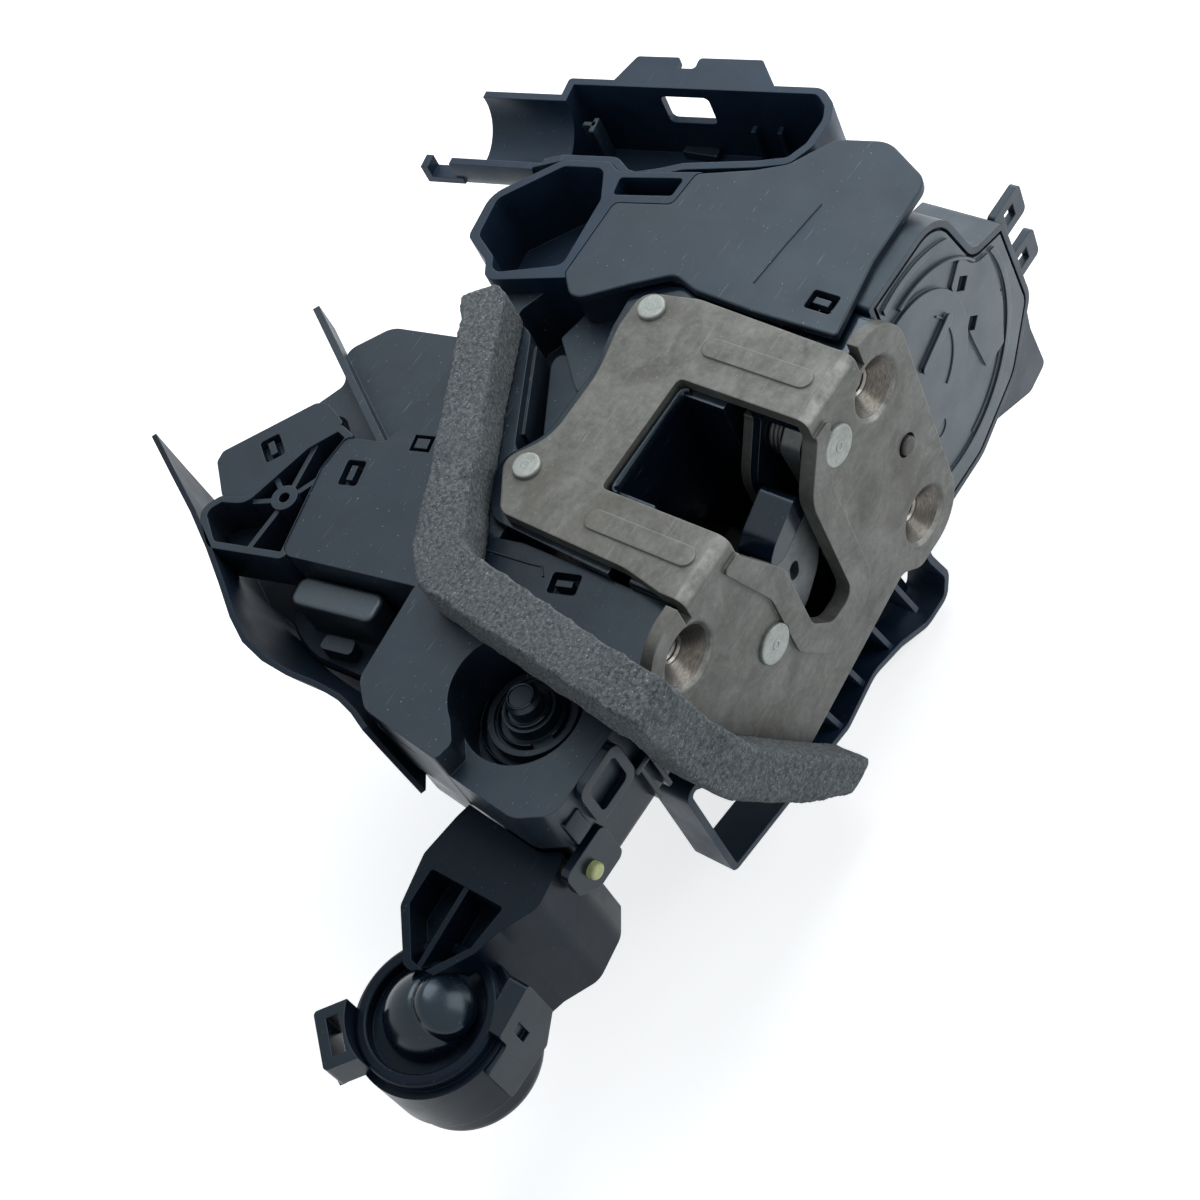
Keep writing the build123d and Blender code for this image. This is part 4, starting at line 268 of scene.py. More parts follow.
def steel(name, dark, light, roughness, metallic, stain=0.6, scratch=0.35, worn=0.0):
    """Phosphated sheet steel: mottled stains, rolling lines, scratches, and lighter edges that are partly
    polished wear and partly a painted highlight.
    """
    material, nt, shader, where = tree(name)
    normal, edge_mask = rounded(nt, 0.0005)
    middle = tuple((a + b) / 2 for a, b in zip(dark, light))
    blotch = noise_node(nt, where, 95.0, 9.0, 0.68, 0.5)
    tone = ramp(nt, blotch, [(0.34, dark), (0.52, middle), (0.70, light)])
    fine = noise_node(nt, where, 620.0, 5.0, 0.7)
    tone = mix(nt, 0.45, tone, grey_ramp(nt, fine, 0.3, 0.7, 0.28, 0.72), "OVERLAY")
    stains = noise_node(nt, where, 30.0, 6.0, 0.62, 1.2)
    stain_tone = (dark[0] * 0.80, dark[1] * 0.74, dark[2] * 0.66)
    tone = mix(nt, grey_ramp(nt, stains, 0.50, 0.66, last=stain), tone, stain_tone)
    pits = noise_node(nt, where, 1500.0, 2.0, 0.5)
    tone = mix(nt, grey_ramp(nt, pits, 0.68, 0.74, last=0.5), tone, scaled(light, 1.5))
    for turn, density in (((0.2, 0.5, 0.1), 0.66), ((1.1, 0.3, -0.6), 0.69), ((0.0, 1.2, 0.9), 0.70)):
        tone = mix(nt, scratches(nt, where, turn, scratch, density), tone, scaled(light, 1.35))
    # Lighter edges: partly polished wear, partly a painted highlight along the edges
    tone = mix(nt, faded(nt, edge_mask, 0.6), tone, scaled(light, 1.5))
    if worn:
        tone = mix(nt, bend_wear(nt, where, worn), tone, scaled(light, 2.3))
    nt.links.new(tone, shader.inputs["Base Color"])
    shader.inputs["Metallic"].default_value = metallic
    rough = grey_ramp(nt, blotch, 0.3, 0.7, roughness + 0.10, roughness - 0.05)
    nt.links.new(rough, shader.inputs["Roughness"])
    bump(nt, shader, [(fine, 0.30, 0.00008), (blotch, 0.18, 0.0003)], normal)
    return material


def foam(name):
    """Closed cell foam: dark grey skin with open pores, pale specks and soft creases."""
    material, nt, shader, where = tree(name)
    cells = nt.nodes.new("ShaderNodeTexVoronoi")
    cells.inputs["Scale"].default_value = 1500.0
    nt.links.new(where, cells.inputs["Vector"])
    pores = noise_node(nt, where, 1100.0, 4.0, 0.7)
    tone = ramp(nt, pores, [
        (0.32, (0.026, 0.030, 0.032)),
        (0.50, (0.095, 0.106, 0.111)),
        (0.70, (0.205, 0.222, 0.230)),
    ])
    patches = noise_node(nt, where, 45.0, 4.0, 0.6)
    tone = mix(nt, grey_ramp(nt, patches, 0.35, 0.7, last=0.35), tone, (0.150, 0.165, 0.172))
    specks = noise_node(nt, where, 2100.0, 1.0, 0.3)
    tone = mix(nt, grey_ramp(nt, specks, 0.70, 0.75, last=0.8), tone, (0.38, 0.40, 0.41))
    nt.links.new(tone, shader.inputs["Base Color"])
    shader.inputs["Roughness"].default_value = 0.92
    shader.inputs["Specular IOR Level"].default_value = 0.2
    creases = noise_node(nt, stretched(nt, where, (160.0, 160.0, 420.0)), 1.0, 3.0, 0.6, 1.0)
    bump(nt, shader, [
        (pores, 0.7, 0.00025),
        (cells.outputs["Distance"], 0.35, 0.0002),
        (creases, 0.35, 0.0006),
    ])
    return material


def simple(name, colour, roughness, metallic=0.0, spread=0.25, scale=300.0):
    """Small part with slight colour and gloss variation, and a painted highlight on its edges."""
    material, nt, shader, where = tree(name)
    normal, edge_mask = rounded(nt, 0.0003)
    value = noise_node(nt, where, scale, 4.0, 0.6)
    tone = ramp(nt, value, [(0.3, scaled(colour, 1 - spread)), (0.7, scaled(colour, 1 + spread))])
    # Lighter edges: a painted highlight along the edges
    tone = mix(nt, faded(nt, edge_mask, 0.5), tone, scaled(colour, 1.5))
    nt.links.new(tone, shader.inputs["Base Color"])
    rough = grey_ramp(nt, value, 0.3, 0.7, roughness - 0.08, roughness + 0.08)
    nt.links.new(rough, shader.inputs["Roughness"])
    shader.inputs["Metallic"].default_value = metallic
    bump(nt, shader, [(value, 0.2, 0.00008)], normal)
    return material


def turned(name, dark, light):
    """Bare turned steel of the screw seats: rings of the tool and a warm stain."""
    material, nt, shader, where = tree(name)
    rings = noise_node(nt, stretched(nt, where, (700.0, 9000.0, 700.0)), 1.0, 3.0, 0.6)
    tone = ramp(nt, rings, [(0.35, dark), (0.65, light)])
    stains = noise_node(nt, where, 160.0, 3.0, 0.5)
    tone = mix(nt, grey_ramp(nt, stains, 0.45, 0.65, last=0.5), tone, scaled(dark, 0.7))
    nt.links.new(tone, shader.inputs["Base Color"])
    shader.inputs["Metallic"].default_value = 0.9
    shader.inputs["Roughness"].default_value = 0.32
    bump(nt, shader, [(rings, 0.12, 0.00003)])
    return material


housing_black = plastic("housing_black", BLACK, 0.40, dust=0.35)
cover_black = plastic("cover_black", BLACK, 0.42, dust=0.9)
dusty_black = plastic("dusty_black", PALE_BLACK, 0.46, dust=1.0)
gloss_black = plastic("gloss_black", DEEP_BLACK, 0.20, dust=0.25, grain=500.0)
# Gear cover and connector block: real gloss, and a lighter base colour that is a painted sheen
painted_sheen_black = plastic("painted_sheen_black", PAINTED_SHEEN, 0.36, dust=0.3, grain=700.0, gloss=0.95)
# Trough parts: a bluer base colour that paints the blue cast of shade
painted_shade_blue = plastic("painted_shade_blue", PAINTED_SHADE_BLUE, 0.45, dust=0.3, grain=700.0, gloss=0.40)
channel_black = plastic("channel_black", DEEP_BLACK, 0.14, 0.3, 500.0, gloss=0.60, wave=0.0025)
# Splash shield wall and frame floors: a darker base colour that paints shade on them
painted_shade_black = plastic("painted_shade_black", DEEP_BLACK, 0.50, dust=0.25, grain=600.0, gloss=0.22)
# Side cover, drive case, clips and fins: real gloss, and a darker base colour that paints the shade falling
# on the lower parts
gloss_and_painted_shade_black = plastic("gloss_and_painted_shade_black", DEEP_BLACK, 0.28, dust=0.2, grain=450.0, gloss=0.34)
# Drive neck and cup: a darker base colour that paints the shade on the lowest parts
painted_shade_cup_black = plastic("painted_shade_cup_black", DEEP_BLACK, 0.30, dust=0.2, grain=450.0, gloss=0.14)
plate_steel = steel("plate_steel", (0.080, 0.081, 0.074), (0.142, 0.145, 0.135), 0.48, 0.45, worn=0.85)
back_steel = steel("back_steel", (0.045, 0.047, 0.046), (0.09, 0.092, 0.09), 0.5, 0.5)
rivet_metal = steel("rivet_metal", (0.235, 0.26, 0.245), (0.36, 0.39, 0.37), 0.38, 0.35, 0.3, 0.2)
claw_metal = steel("claw_metal", (0.075, 0.084, 0.088), (0.135, 0.148, 0.154), 0.38, 0.45, 0.4, 0.3)
cone_metal = turned("cone_metal", (0.065, 0.060, 0.054), (0.165, 0.152, 0.135))
thread_metal = simple("thread_metal", (0.26, 0.245, 0.23), 0.34, 0.95, spread=0.3, scale=900.0)
spring_wire = simple("spring_wire", (0.055, 0.056, 0.06), 0.4, 0.8)
motor_can = simple("motor_can", (0.55, 0.55, 0.55), 0.3, 0.9)
brass = simple("brass", (0.62, 0.44, 0.16), 0.28, 0.9)
gear_white = simple("gear_white", (0.62, 0.60, 0.55), 0.45)
board_green = simple("board_green", (0.02, 0.11, 0.04), 0.3)
switch_black = simple("switch_black", (0.02, 0.02, 0.02), 0.4)
pin_green = simple("pin_green", (0.50, 0.53, 0.24), 0.45)
buffer_black = simple("buffer_black", (0.012, 0.012, 0.013), 0.6)
foam_grey = foam("foam_grey")

# Which material each node of the part wears: all others are plain housing plastic
WORN_BY = (
    (plate_steel, ("latch_plate",)),
    (back_steel, ("back_plate", "locating_pin")),
    (rivet_metal, ("flange_rivets", "claw_pivot_pin", "pawl_pivot_pin")),
    (claw_metal, ("claw", "pawl", "release_lever")),
    (spring_wire, ("claw_spring", "pawl_spring")),
    (gloss_black, ("claw_jacket", "dome_cap")),
    (channel_black, ("latch_housing", "channel_housing")),
    (painted_sheen_black, ("gear_cover", "connector_block")),
    (cover_black, ("actuator_cover", "side_panel", "close_drive_cover")),
    (dusty_black, ("wing_plate",)),
    (painted_shade_blue, ("cable_trough", "cable_pocket", "edge_frame")),
    (gloss_and_painted_shade_black, ("side_cover", "close_drive_case", "drive_snap_hook", "drive_bracket",
                     "side_clip", "retainer_clip")),
    (painted_shade_cup_black, ("drive_neck", "drive_cup")),
    (gear_white, ("lock_gear", "lock_lever")),
    (brass, ("lock_pinion",)),
    (motor_can, ("lock_motor",)),
    (board_green, ("circuit_board",)),
    (switch_black, ("microswitches",)),
    (pin_green, ("bracket_pin",)),
    (buffer_black, ("stop_buffer",)),
    (foam_grey, ("foam_seal",)),
)
by_node = {name: material for material, names in WORN_BY for name in names}


def dress(obj, material):
    """Gives every slot of a piece one material."""
    if not obj.material_slots:
        obj.data.materials.append(material)
    for slot in obj.material_slots:
        slot.material = material


for name, obj in nodes.items():
    dress(obj, by_node.get(name, housing_black))


# Mesh helpers
SHARP = math.radians(35)
WELD = 0.000002
UP = Vector((0, 0, 1))
FRONT = Vector((0, -1, 0))
CORNER_STEPS = 5
RIB_FOOT = 0.2
RIB_PROFILE = [
    (-0.5, -RIB_FOOT), (-0.5, 0.55), (-0.36, 0.86), (-0.14, 1.0),
    (0.14, 1.0), (0.36, 0.86), (0.5, 0.55), (0.5, -RIB_FOOT),
]


def at(x, depth, z):
    """Point from sizes in mm: x, depth behind the front of the face plate, and height."""
    return Vector((x * MM, FACE_Y + depth * MM, z * MM))


def piece(name, bm, material):
    """Finishes a mesh piece and hangs it on the housing."""
    mesh = bpy.data.meshes.new(name)
    bmesh.ops.remove_doubles(bm, verts=bm.verts, dist=WELD)
    bmesh.ops.recalc_face_normals(bm, faces=bm.faces)
    bm.to_mesh(mesh)
    bm.free()
    for polygon in mesh.polygons:
        polygon.use_smooth = True
    mesh.set_sharp_from_angle(angle=SHARP)
    obj = bpy.data.objects.new(name, mesh)
    bpy.context.scene.collection.objects.link(obj)
    obj.data.materials.append(material)
    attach(obj, "housing")
    return obj


def skin(bm, loops):
    """Faces between closed loops of points that have the same count."""
    rows = [[bm.verts.new(point) for point in loop] for loop in loops]
    for low_row, high_row in zip(rows, rows[1:]):
        for i in range(len(low_row)):
            j = (i + 1) % len(low_row)
            bm.faces.new((low_row[i], low_row[j], high_row[j], high_row[i]))
    return rows


def prism(bm, *loops):
    """Closed solid through two or more outlines."""
    rows = skin(bm, loops)
    bm.faces.new(rows[0][::-1])
    bm.faces.new(rows[-1])


def level_prism(bm, outline, low, high):
    """Plain plate on an outline of (x, depth), between two heights."""
    prism(bm, [at(x, d, low) for x, d in outline], [at(x, d, high) for x, d in outline])


def softened(points, radius):
    """Outline with each corner replaced by a short curve."""
    out = []
    for i, point in enumerate(points):
        corner = Vector(point)
        before = Vector(points[i - 1]) - corner
        after = Vector(points[(i + 1) % len(points)]) - corner
        cut = min(radius, before.length / 2, after.length / 2)
        start = corner + before.normalized() * cut
        end = corner + after.normalized() * cut
        for k in range(CORNER_STEPS + 1):
            t = k / CORNER_STEPS
            out.append(tuple(start * (1 - t) ** 2 + corner * (2 * t * (1 - t)) + end * t ** 2))
    return out


def level_block(bm, points, radius, low, high, lip=0.3):
    """Block on an outline of (x, depth), with a small lip round its top."""
    outline = softened(points, radius)
    middle = sum((Vector(p) for p in outline), Vector((0, 0))) / len(outline)
    inner = [tuple(Vector(p) + (middle - Vector(p)).normalized() * lip) for p in outline]
    prism(bm, [at(x, d, low) for x, d in outline], [at(x, d, high - lip) for x, d in outline],
          [at(x, d, high) for x, d in inner])


def rectangle(left, right, front, back):
    """Outline (x, depth) of a rectangle."""
    return [(left, back), (right, back), (right, front), (left, front)]


def arc(centre, radius, start, end, steps=24):
    """Points (a, b) of an arc, angles in degrees."""
    turn = [math.radians(start + (end - start) * i / steps) for i in range(steps + 1)]
    return [(centre[0] + radius * math.cos(t), centre[1] + radius * math.sin(t)) for t in turn]


def circle(centre, radius, steps):
    """Points (a, b) of a closed circle."""
    return arc(centre, radius, 0, 360, steps)[:-1]


def ridge(bm, line, up, width, height):
    """Rib with a rounded top, swept along a line of points on the surface that it stands on."""
    loops = []
    for i, point in enumerate(line):
        along = line[min(i + 1, len(line) - 1)] - line[max(i - 1, 0)]
        side = along.normalized().cross(up)
        loops.append([point + side * (a * width * MM) + up * (b * height * MM) for a, b in RIB_PROFILE])
    prism(bm, *loops)


def spun(bm, profile, centre, steps):
    """Surface round an axis along Y through (x, z): profile is a list of (radius, depth)."""
    skin(bm, [[(a, FACE_Y + depth, b) for a, b in circle(centre, radius, steps)]
              for radius, depth in profile])


# Threads at the bottom of the screw seats
THREAD_LEAD = 0.0002
THREAD_CREST = THREAD_R - 0.00055
THREAD_ROOT = THREAD_R - 0.00002
thread_profile = []
for i in range(int((SEAT_DEPTH - THREAD_START) / THREAD_PITCH)):
    start = THREAD_START + THREAD_LEAD + i * THREAD_PITCH
    thread_profile += [
        (THREAD_ROOT, start),
        (THREAD_CREST, start + 0.45 * THREAD_PITCH),
        (THREAD_ROOT, start + 0.9 * THREAD_PITCH),
    ]
threads = bmesh.new()
for screw in SCREWS:
    spun(threads, thread_profile, screw, 40)
piece("screw_threads", threads, thread_metal)

# Screw seats: turned cones inside the formed mouths
CONE_MOUTH = (0.00705, 0.00085)
CONE_FOOT = (0.00345, 0.00445)
CONE_T = 0.0003
cone_profile = [
    CONE_MOUTH, CONE_FOOT,
    (CONE_FOOT[0] + CONE_T, CONE_FOOT[1] + CONE_T), (CONE_MOUTH[0] + CONE_T, CONE_MOUTH[1] + CONE_T),
    CONE_MOUTH,
]
cones = bmesh.new()
for screw in SCREWS:
    spun(cones, cone_profile, screw, 64)
piece("seat_cones", cones, cone_metal)

# Upset marks in the middle of the pin and rivet heads, as (out from the ring's radius, rise)
MARK_STEPS = 32
MARK_SECTION = [(0.4, -0.05), (0.2, 0.12), (-0.2, 0.12), (-0.4, -0.05), (0.4, -0.05)]
PIN_MARK_R = 1.0
RIVET_MARK_R = 0.9
mark_profile = [((PIN_MARK_R + out) * MM, -(HEAD_RISE + rise) * MM) for out, rise in MARK_SECTION]
rings = bmesh.new()
for centre in (CLAW_PIVOT, PAWL_PIVOT):
    spun(rings, mark_profile, centre, MARK_STEPS)
piece("pin_marks", rings, rivet_metal)

rings = bmesh.new()
for centre in RIVETS:
    skin(rings, [[at(x, d, FLANGE_TOP + HEAD_RISE + rise)
                  for x, d in circle(centre, RIVET_MARK_R + out, MARK_STEPS)]
                 for out, rise in MARK_SECTION])
piece("rivet_marks", rings, rivet_metal)

# Splash shield: thin wall that leans out over its floor. Its rim runs as (x, depth, lean)
SHIELD_RIM = [
    (-81.4, 158.0, 0.5), (-88.0, 145.0, 0.5), (-94.6, 131.8, 0.8), (-101.0, 120.5, 1.2),
    (-107.2, 110.6, 6.0), (-113.2, 101.5, 12.5), (-117.0, 94.0, 14.0), (-118.8, 86.0, 14.5),
    (-119.2, 78.0, 14.0), (-118.6, 70.0, 12.0), (-118.8, 62.5, 8.0), (-120.2, 57.0, 4.0),
    (-122.3, 51.8, 0.5),
]
SHIELD_TOP = 10.0
SHIELD_LOW = -20.0
SHIELD_T = 1.3
SHIELD_LEVELS = 6
LEAN_CURVE = 1.3
SHIELD_FLOOR_T = 1.6
SHIELD_FLOOR_SET = 0.3
SHIELD_FLOOR_SPAN = slice(1, 12)
SHIELD_FLOOR_SIDE = [(-86.0, 58.0), (-90.0, 101.0), (-84.0, 112.0), (-84.0, 134.0)]
LEDGE = [
    (-90.0, 102.5), (-100.5, 104.5), (-105.0, 98.5), (-108.3, 90.0), (-107.0, 68.0), (-100.0, 61.0),
    (-86.0, 61.0),
]
LEDGE_TOP = -8.0
LEDGE_T = 2.6
LEDGE_CORNER = 4.0
LEDGE_LIP = 0.8


def shield_line(level_z, inset=0.0):
    """The wall's line (x, depth) at a height: it moves inwards by its own lean on the way down."""
    share = (SHIELD_TOP - level_z) / (SHIELD_TOP - SHIELD_LOW)
    points = []
    for i, (x, depth, lean) in enumerate(SHIELD_RIM):
        ahead = SHIELD_RIM[min(i + 1, len(SHIELD_RIM) - 1)]
        behind = SHIELD_RIM[max(i - 1, 0)]
        along = Vector((ahead[0] - behind[0], ahead[1] - behind[1])).normalized()
        inward = Vector((-along.y, along.x))
        points.append(Vector((x, depth)) + inward * (lean * share ** LEAN_CURVE + inset))
    return points


shield = bmesh.new()
step = (SHIELD_TOP - SHIELD_LOW) / SHIELD_LEVELS
heights = [SHIELD_LOW + step * i for i in range(SHIELD_LEVELS + 1)]
outer = [[at(x, d, z) for x, d in shield_line(z)] for z in heights]
inner = [[at(x, d, z) for x, d in shield_line(z, SHIELD_T)] for z in reversed(heights)]
prism(shield, *(list(column) for column in zip(*(outer + inner))))
floor_wall = shield_line(SHIELD_LOW, SHIELD_FLOOR_SET)[SHIELD_FLOOR_SPAN]
shield_floor = [tuple(point) for point in floor_wall] + SHIELD_FLOOR_SIDE
level_prism(shield, shield_floor, SHIELD_LOW, SHIELD_LOW + SHIELD_FLOOR_T)
level_block(shield, LEDGE, LEDGE_CORNER, LEDGE_TOP - LEDGE_T, LEDGE_TOP, LEDGE_LIP)
# The wall wears the darker black that paints shade on it
wall = piece("splash_shield_wall", shield, painted_shade_black)
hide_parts("splash_shield")

# Closed floors behind the ribbed frame, the edge frame (x, z) and the foot of the upright fin
FRAME_FLOOR = [
    (-93.5, 101.0), (-98.3, 120.0), (-93.0, 127.5), (-89.4, 125.0), (-87.2, 119.4), (-68.4, 114.2),
    (-61.6, 109.6), (-62.6, 106.8), (-71.0, 107.0),
]
FRAME_FLOOR_LOW = -1.9
FRAME_FLOOR_TOP = -0.6
EDGE_FLOOR = [
    (-52.0, -63.0), (-50.0, -82.0), (-30.0, -79.2), (-18.5, -83.0), (-9.0, -88.4), (-1.5, -88.4),
    (-3.0, -80.0), (-2.5, -59.0),
]
EDGE_FLOOR_BACK = 15.8
EDGE_FLOOR_FRONT = 14.4
FIN_ROOT = [(-60.5, 111.0), (-51.5, 121.5), (-49.5, 129.5), (-55.5, 132.0), (-63.0, 119.0)]
FIN_ROOT_LOW = -5.0
FIN_ROOT_TOP = -3.4
floors = bmesh.new()
level_block(floors, FRAME_FLOOR, 1.0, FRAME_FLOOR_LOW, FRAME_FLOOR_TOP, 0.1)
outline = softened(EDGE_FLOOR, 2.0)
prism(floors, [at(x, EDGE_FLOOR_BACK, z) for x, z in outline],
      [at(x, EDGE_FLOOR_FRONT, z) for x, z in outline])
level_prism(floors, FIN_ROOT, FIN_ROOT_LOW, FIN_ROOT_TOP)
# These floors wear the darker black that paints the shade seen through the frame's bays
piece("frame_floors", floors, painted_shade_black)

# Drive cover recess: crescents round the drum, as (radius, start, end, width, foot, height)
CRESCENTS = (
    (12.3, 95, 250, 0.9, -8.0, 2.6),
    (8.0, 70, 215, 0.8, -5.5, 1.5),
    (7.7, 250, 330, 0.7, -5.5, 1.2),
    (5.1, 20, 340, 0.7, -2.0, 0.9),
    (3.0, 0, 358, 0.5, 2.6, 0.35),
)
crescents = bmesh.new()
for radius, start, end, width, foot, height in CRESCENTS:
    line = [at(x, d, foot) for x, d in arc(DRUM, radius, start, end, 36)]
    ridge(crescents, line, UP, width, height)
piece("recess_crescents", crescents, gloss_black)

# Gear cover: plain rings (centre, radius) and arcs (centre, radius, start, end, width, height, drop)
COVER_RINGS = (((26.0, -31.0), 2.3), ((17.6, -39.8), 3.0))
COVER_ARCS = (
    ((21.0, -24.0), 27.8, 30, 96, 0.9, 1.1, 0.0),
    ((17.0, -18.0), 13.5, -60, 40, 0.5, 0.4, 1.1),
    ((21.0, -24.0), 30.6, -78, -8, 0.5, 0.4, 0.0),
)
details = bmesh.new()
for centre, radius in COVER_RINGS:
    line = [at(x, COVER_FACE, z) for x, z in arc(centre, radius, 0, 360, 32)]
    ridge(details, line, FRONT, 0.35, 0.3)
for centre, radius, start, end, width, height, drop in COVER_ARCS:
    line = [at(x, COVER_FACE - drop, z) for x, z in arc(centre, radius, start, end)]
    ridge(details, line, FRONT, width, height)
piece("gear_cover_marks", details, painted_sheen_black)

# Cover seams: the stepped joint of the side cover and the fold of the actuator cover
SIDE_SEAM = [(-74.6, 56.5), (-73.9, 52.1), (-72.9, 41.5), (-72.4, 38.5), (-74.4, 36.6)]
COVER_SEAM = [(7.0, 32.4), (19.0, 31.3), (31.6, 29.7)]
seams = bmesh.new()
ridge(seams, [at(x, d, SIDE_COVER_TOP) for x, d in SIDE_SEAM], UP, 0.45, 0.35)
ridge(seams, [at(x, d, FLANGE_TOP) for x, d in COVER_SEAM], UP, 0.35, 0.3)
piece("cover_seams", seams, cover_black)

# Trough: block on its floor and a two part bracket beside the tube
TROUGH_BLOCK = [(52.0, 90.0), (53.2, 80.0), (50.4, 79.6), (49.2, 89.6)]
BRACKET_FOOT = [(36.6, 104.0), (41.2, 105.0), (41.5, 103.6), (36.9, 102.6)]
BRACKET_WEB = [(37.9, 106.9), (39.2, 107.2), (40.0, 103.4), (38.7, 103.1)]
BRACKET_TOP = 10.5
inside = bmesh.new()
level_block(inside, TROUGH_BLOCK, 0.6, -8.2, -5.5)
level_block(inside, BRACKET_FOOT, 0.4, -2.0, BRACKET_TOP)
level_block(inside, BRACKET_WEB, 0.4, 3.0, BRACKET_TOP)
piece("trough_tabs", inside, housing_black)

# Lip of the striker channel: only the stretch between its two rear corners
CHANNEL = [(-51.3, 1.5), (-51.3, 33.2), (-22.3, 33.2), (-22.3, 1.5)]
LIP_FOOT = 11.0
one_corner = CORNER_STEPS + 1
lip = bmesh.new()
lip_line = softened(CHANNEL, 2.0)[one_corner:-one_corner]
ridge(lip, [at(x, d, LIP_FOOT) for x, d in lip_line], UP, 1.3, 2.2)
piece("channel_lip", lip, gloss_black)

# Dome cap: glossy dome with a rounded nose on its upper side. The nose's edges are cosines
NOSE = Vector((0.35, -0.62, 0.70)).normalized()
NOSE_RISE = 0.0016
NOSE_EDGE = 0.70
NOSE_BLEND = 0.17
GROOVE_DEPTH = 0.0003
GROOVE_WIDTH = 0.05
dome_low, dome_high = (Vector(corner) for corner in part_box("dome_cap"))
dome_r = (dome_high.x - dome_low.x) / 2
dome_centre = Vector(((dome_low.x + dome_high.x) / 2, (dome_low.y + dome_high.y) / 2, dome_high.z - dome_r))
dome = bmesh.new()
bmesh.ops.create_uvsphere(dome, u_segments=96, v_segments=64, radius=1.0)
for vertex in dome.verts:
    facing = vertex.co.normalized()
    past_edge = facing.dot(NOSE) - NOSE_EDGE
    share = min(1.0, max(0.0, past_edge / NOSE_BLEND))
    groove = math.exp(-(past_edge / GROOVE_WIDTH) ** 2) * GROOVE_DEPTH
    rise = NOSE_RISE * share * share * (3 - 2 * share) - groove
    vertex.co = dome_centre + facing * (dome_r - NOSE_RISE + rise)
    vertex.co.z = max(vertex.co.z, dome_low.z)
cap = piece("dome_cap_nosed", dome, gloss_black)
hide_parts("dome_cap")

# Closing drive: fins, a ledge over them and a pad on the front of the case
FIN_LEFTS = (-90.0, -93.5, -97.0)
FIN_T = 1.3
fins = bmesh.new()
for left in FIN_LEFTS:
    level_block(fins, rectangle(left, left + FIN_T, 3.6, CASE_FRONT), 0.3, -27.0, -13.0)
level_block(fins, rectangle(-98.5, -88.0, 2.8, CASE_FRONT), 0.5, -12.6, -10.8)
level_block(fins, rectangle(-118.0, -113.0, 4.4, CASE_FRONT), 0.5, -11.0, -3.0)
piece("drive_case_fins", fins, gloss_and_painted_shade_black)

# Foam seal: the strip with rounded cut edges, dents and a slightly uneven skin
FOAM_VOXEL = 0.0011
FOAM_INSET = 0.00025
FOAM_WAVES = ((90.0, 0.00035), (420.0, 0.00016))
DENT_SCALE = 55.0
DENT_SHIFT = Vector((3.1, 0.7, 9.2))
DENT_START = 0.25
DENT_DEPTH = 0.0016
foam_mesh = nodes["foam_seal"].data.copy()
foam_mesh.materials.clear()
seal = bpy.data.objects.new("foam_seal_strip", foam_mesh)
bpy.context.scene.collection.objects.link(seal)
remesh = seal.modifiers.new("remesh", "REMESH")
remesh.mode = "VOXEL"
remesh.voxel_size = FOAM_VOXEL
smooth = seal.modifiers.new("smooth", "SMOOTH")
smooth.factor = 0.5
smooth.iterations = 2
bpy.context.view_layer.update()
evaluated = seal.evaluated_get(bpy.context.evaluated_depsgraph_get())
finished = bpy.data.meshes.new_from_object(evaluated)
seal.modifiers.clear()
seal.data = finished
foam_low, foam_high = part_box("foam_seal")
for vertex in finished.vertices:
    co = vertex.co
    wave = sum(noise.noise(co * scale) * height for scale, height in FOAM_WAVES)
    dent = max(0.0, noise.noise(co * DENT_SCALE + DENT_SHIFT) - DENT_START) * DENT_DEPTH
    moved = co + vertex.normal * (wave - dent - FOAM_INSET)
    vertex.co = [min(max(value, a), b) for value, a, b in zip(moved, foam_low, foam_high)]
for polygon in finished.polygons:
    polygon.use_smooth = True
finished.materials.clear()
finished.materials.append(foam_grey)
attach(seal, "housing")
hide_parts("foam_seal")

# Camera, fitted to the photo: rows are its right, down and away axes in the part's frame
CAMERA_AXES = (
    (0.548718, -0.764894, -0.337411),
    (-0.783773, -0.330249, -0.525961),
    (0.290874, 0.553058, -0.780717),
)
PHOTO_PX = 1200
FOCAL_PX = 2200.0
PX_PER_MM = 4.6
ORIGIN_PX = (876.0, 388.0)
SENSOR = 36.0
right, down, away = (Vector(row) for row in CAMERA_AXES)
reach = FOCAL_PX / PX_PER_MM * MM
aside, below = ((px - PHOTO_PX / 2) / FOCAL_PX * reach for px in ORIGIN_PX)
position = Vector((0, FACE_Y, 0)) - (right * aside + down * below + away * reach)
rotation = Matrix((right, -down, -away)).transposed()
camera_data = bpy.data.cameras.new("camera")
camera_data.sensor_width = SENSOR
camera_data.lens = FOCAL_PX / PHOTO_PX * SENSOR
camera_data.clip_start = 0.01
camera = bpy.data.objects.new("camera", camera_data)
camera.matrix_world = Matrix.Translation(position) @ rotation.to_4x4()
bpy.context.scene.collection.objects.link(camera)
bpy.context.scene.camera = camera

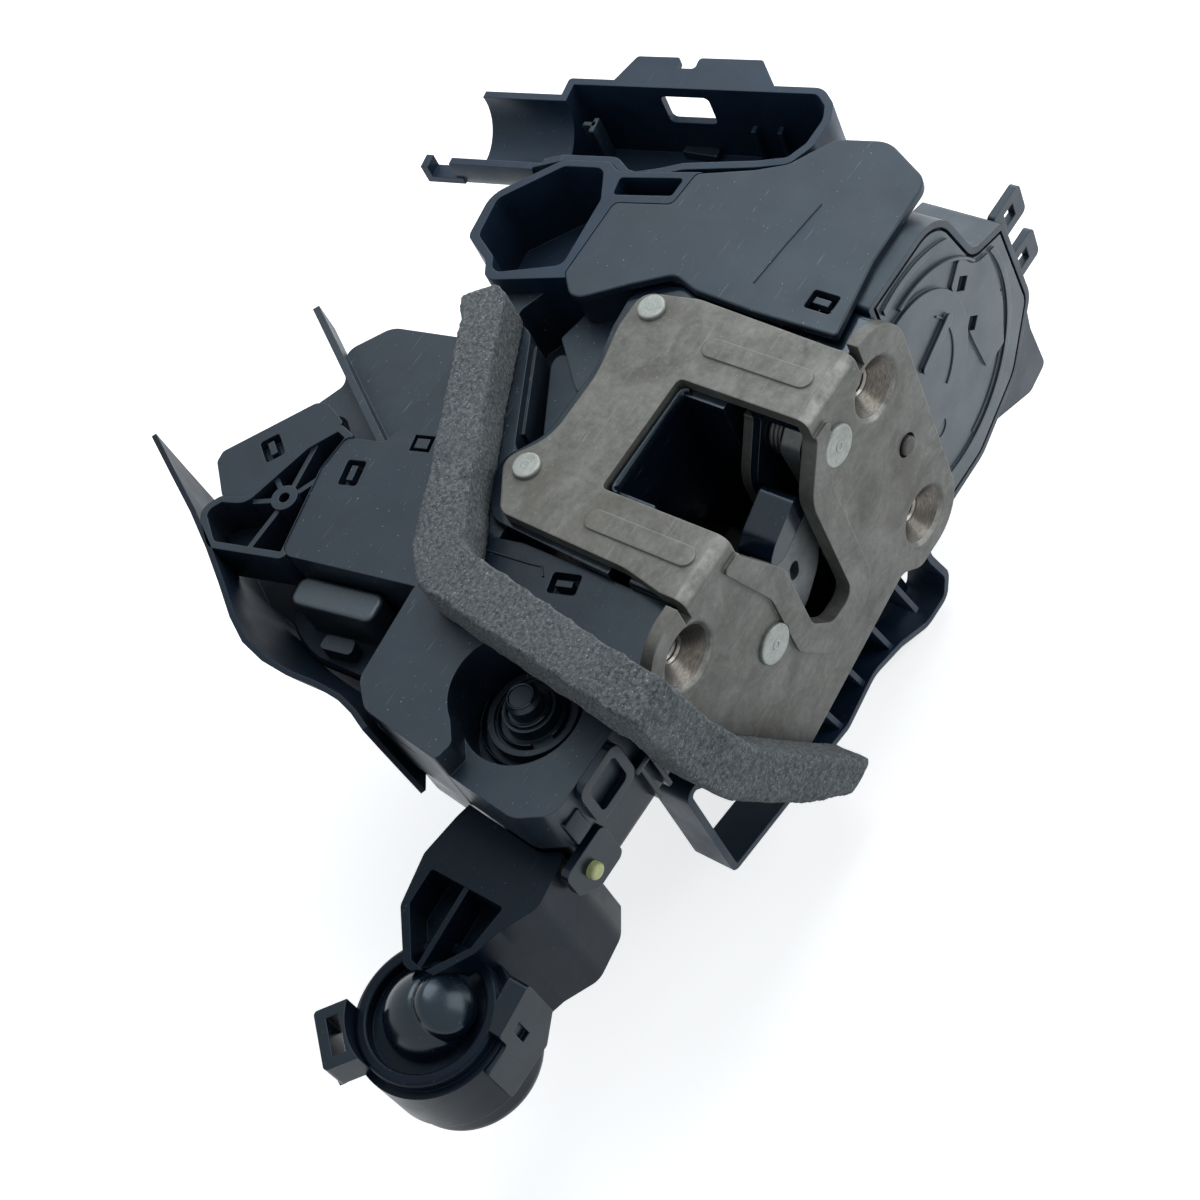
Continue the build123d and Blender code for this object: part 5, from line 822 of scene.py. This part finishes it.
# White floor, level and just under the part, with some light of its own for the camera
FLOOR_HALF = 4.0
FLOOR_DROP = 0.0005
FLOOR_LIGHT = 0.62
low, high = (Vector(corner) for corner in cad_box)
centre = (low + high) / 2
floor_mesh = bpy.data.meshes.new("floor")
grid = bmesh.new()
bmesh.ops.create_grid(grid, x_segments=1, y_segments=1, size=FLOOR_HALF)
grid.to_mesh(floor_mesh)
grid.free()
floor = bpy.data.objects.new("floor", floor_mesh)
bpy.context.scene.collection.objects.link(floor)
floor.location = (centre.x, centre.y, low.z - FLOOR_DROP)
floor_material, nt, shader, _ = tree("floor_white")
shader.inputs["Base Color"].default_value = (0.9, 0.9, 0.9, 1)
shader.inputs["Roughness"].default_value = 0.9
shader.inputs["Emission Color"].default_value = (1, 1, 1, 1)
own_light = calculate(nt, "MULTIPLY", seen_white(nt), FLOOR_LIGHT)
nt.links.new(own_light, shader.inputs["Emission Strength"])
floor_mesh.materials.append(floor_material)


def area(name, direction, distance, size, power, colour):
    """Soft lamp placed by a direction in the camera's right, up and back axes."""
    data = bpy.data.lights.new(name, "AREA")
    data.energy = power
    data.size = size
    data.color = colour
    lamp = bpy.data.objects.new(name, data)
    axis = (right * direction[0] - down * direction[1] - away * direction[2]).normalized()
    lamp.location = centre + axis * distance
    lamp.rotation_euler = axis.to_track_quat("Z", "Y").to_euler()
    bpy.context.scene.collection.objects.link(lamp)


area("key", (-0.25, 1.15, 0.75), 0.56, 0.36, 1.55, (0.95, 0.98, 1.0))
area("fill", (1.0, 0.60, 0.55), 0.70, 0.45, 1.55, (0.97, 0.99, 1.0))
area("rim", (0.1, 1.0, -0.2), 0.8, 0.5, 2.0, (0.92, 0.96, 1.0))

# World: a soft cool light on the part, and white where the camera sees it
world = bpy.data.worlds.new("world")
bpy.context.scene.world = world
world.use_nodes = True
wt = world.node_tree
background = wt.nodes["Background"]
background.inputs["Color"].default_value = (0.86, 0.93, 1.0, 1)
background.inputs["Strength"].default_value = 0.36
white = wt.nodes.new("ShaderNodeBackground")
white.inputs["Color"].default_value = (1, 1, 1, 1)
white.inputs["Strength"].default_value = 1.0
choice = wt.nodes.new("ShaderNodeMixShader")
wt.links.new(seen_white(wt), choice.inputs["Fac"])
wt.links.new(background.outputs["Background"], choice.inputs[1])
wt.links.new(white.outputs["Background"], choice.inputs[2])
wt.links.new(choice.outputs["Shader"], wt.nodes["World Output"].inputs["Surface"])
bpy.context.scene.view_settings.view_transform = "Standard"
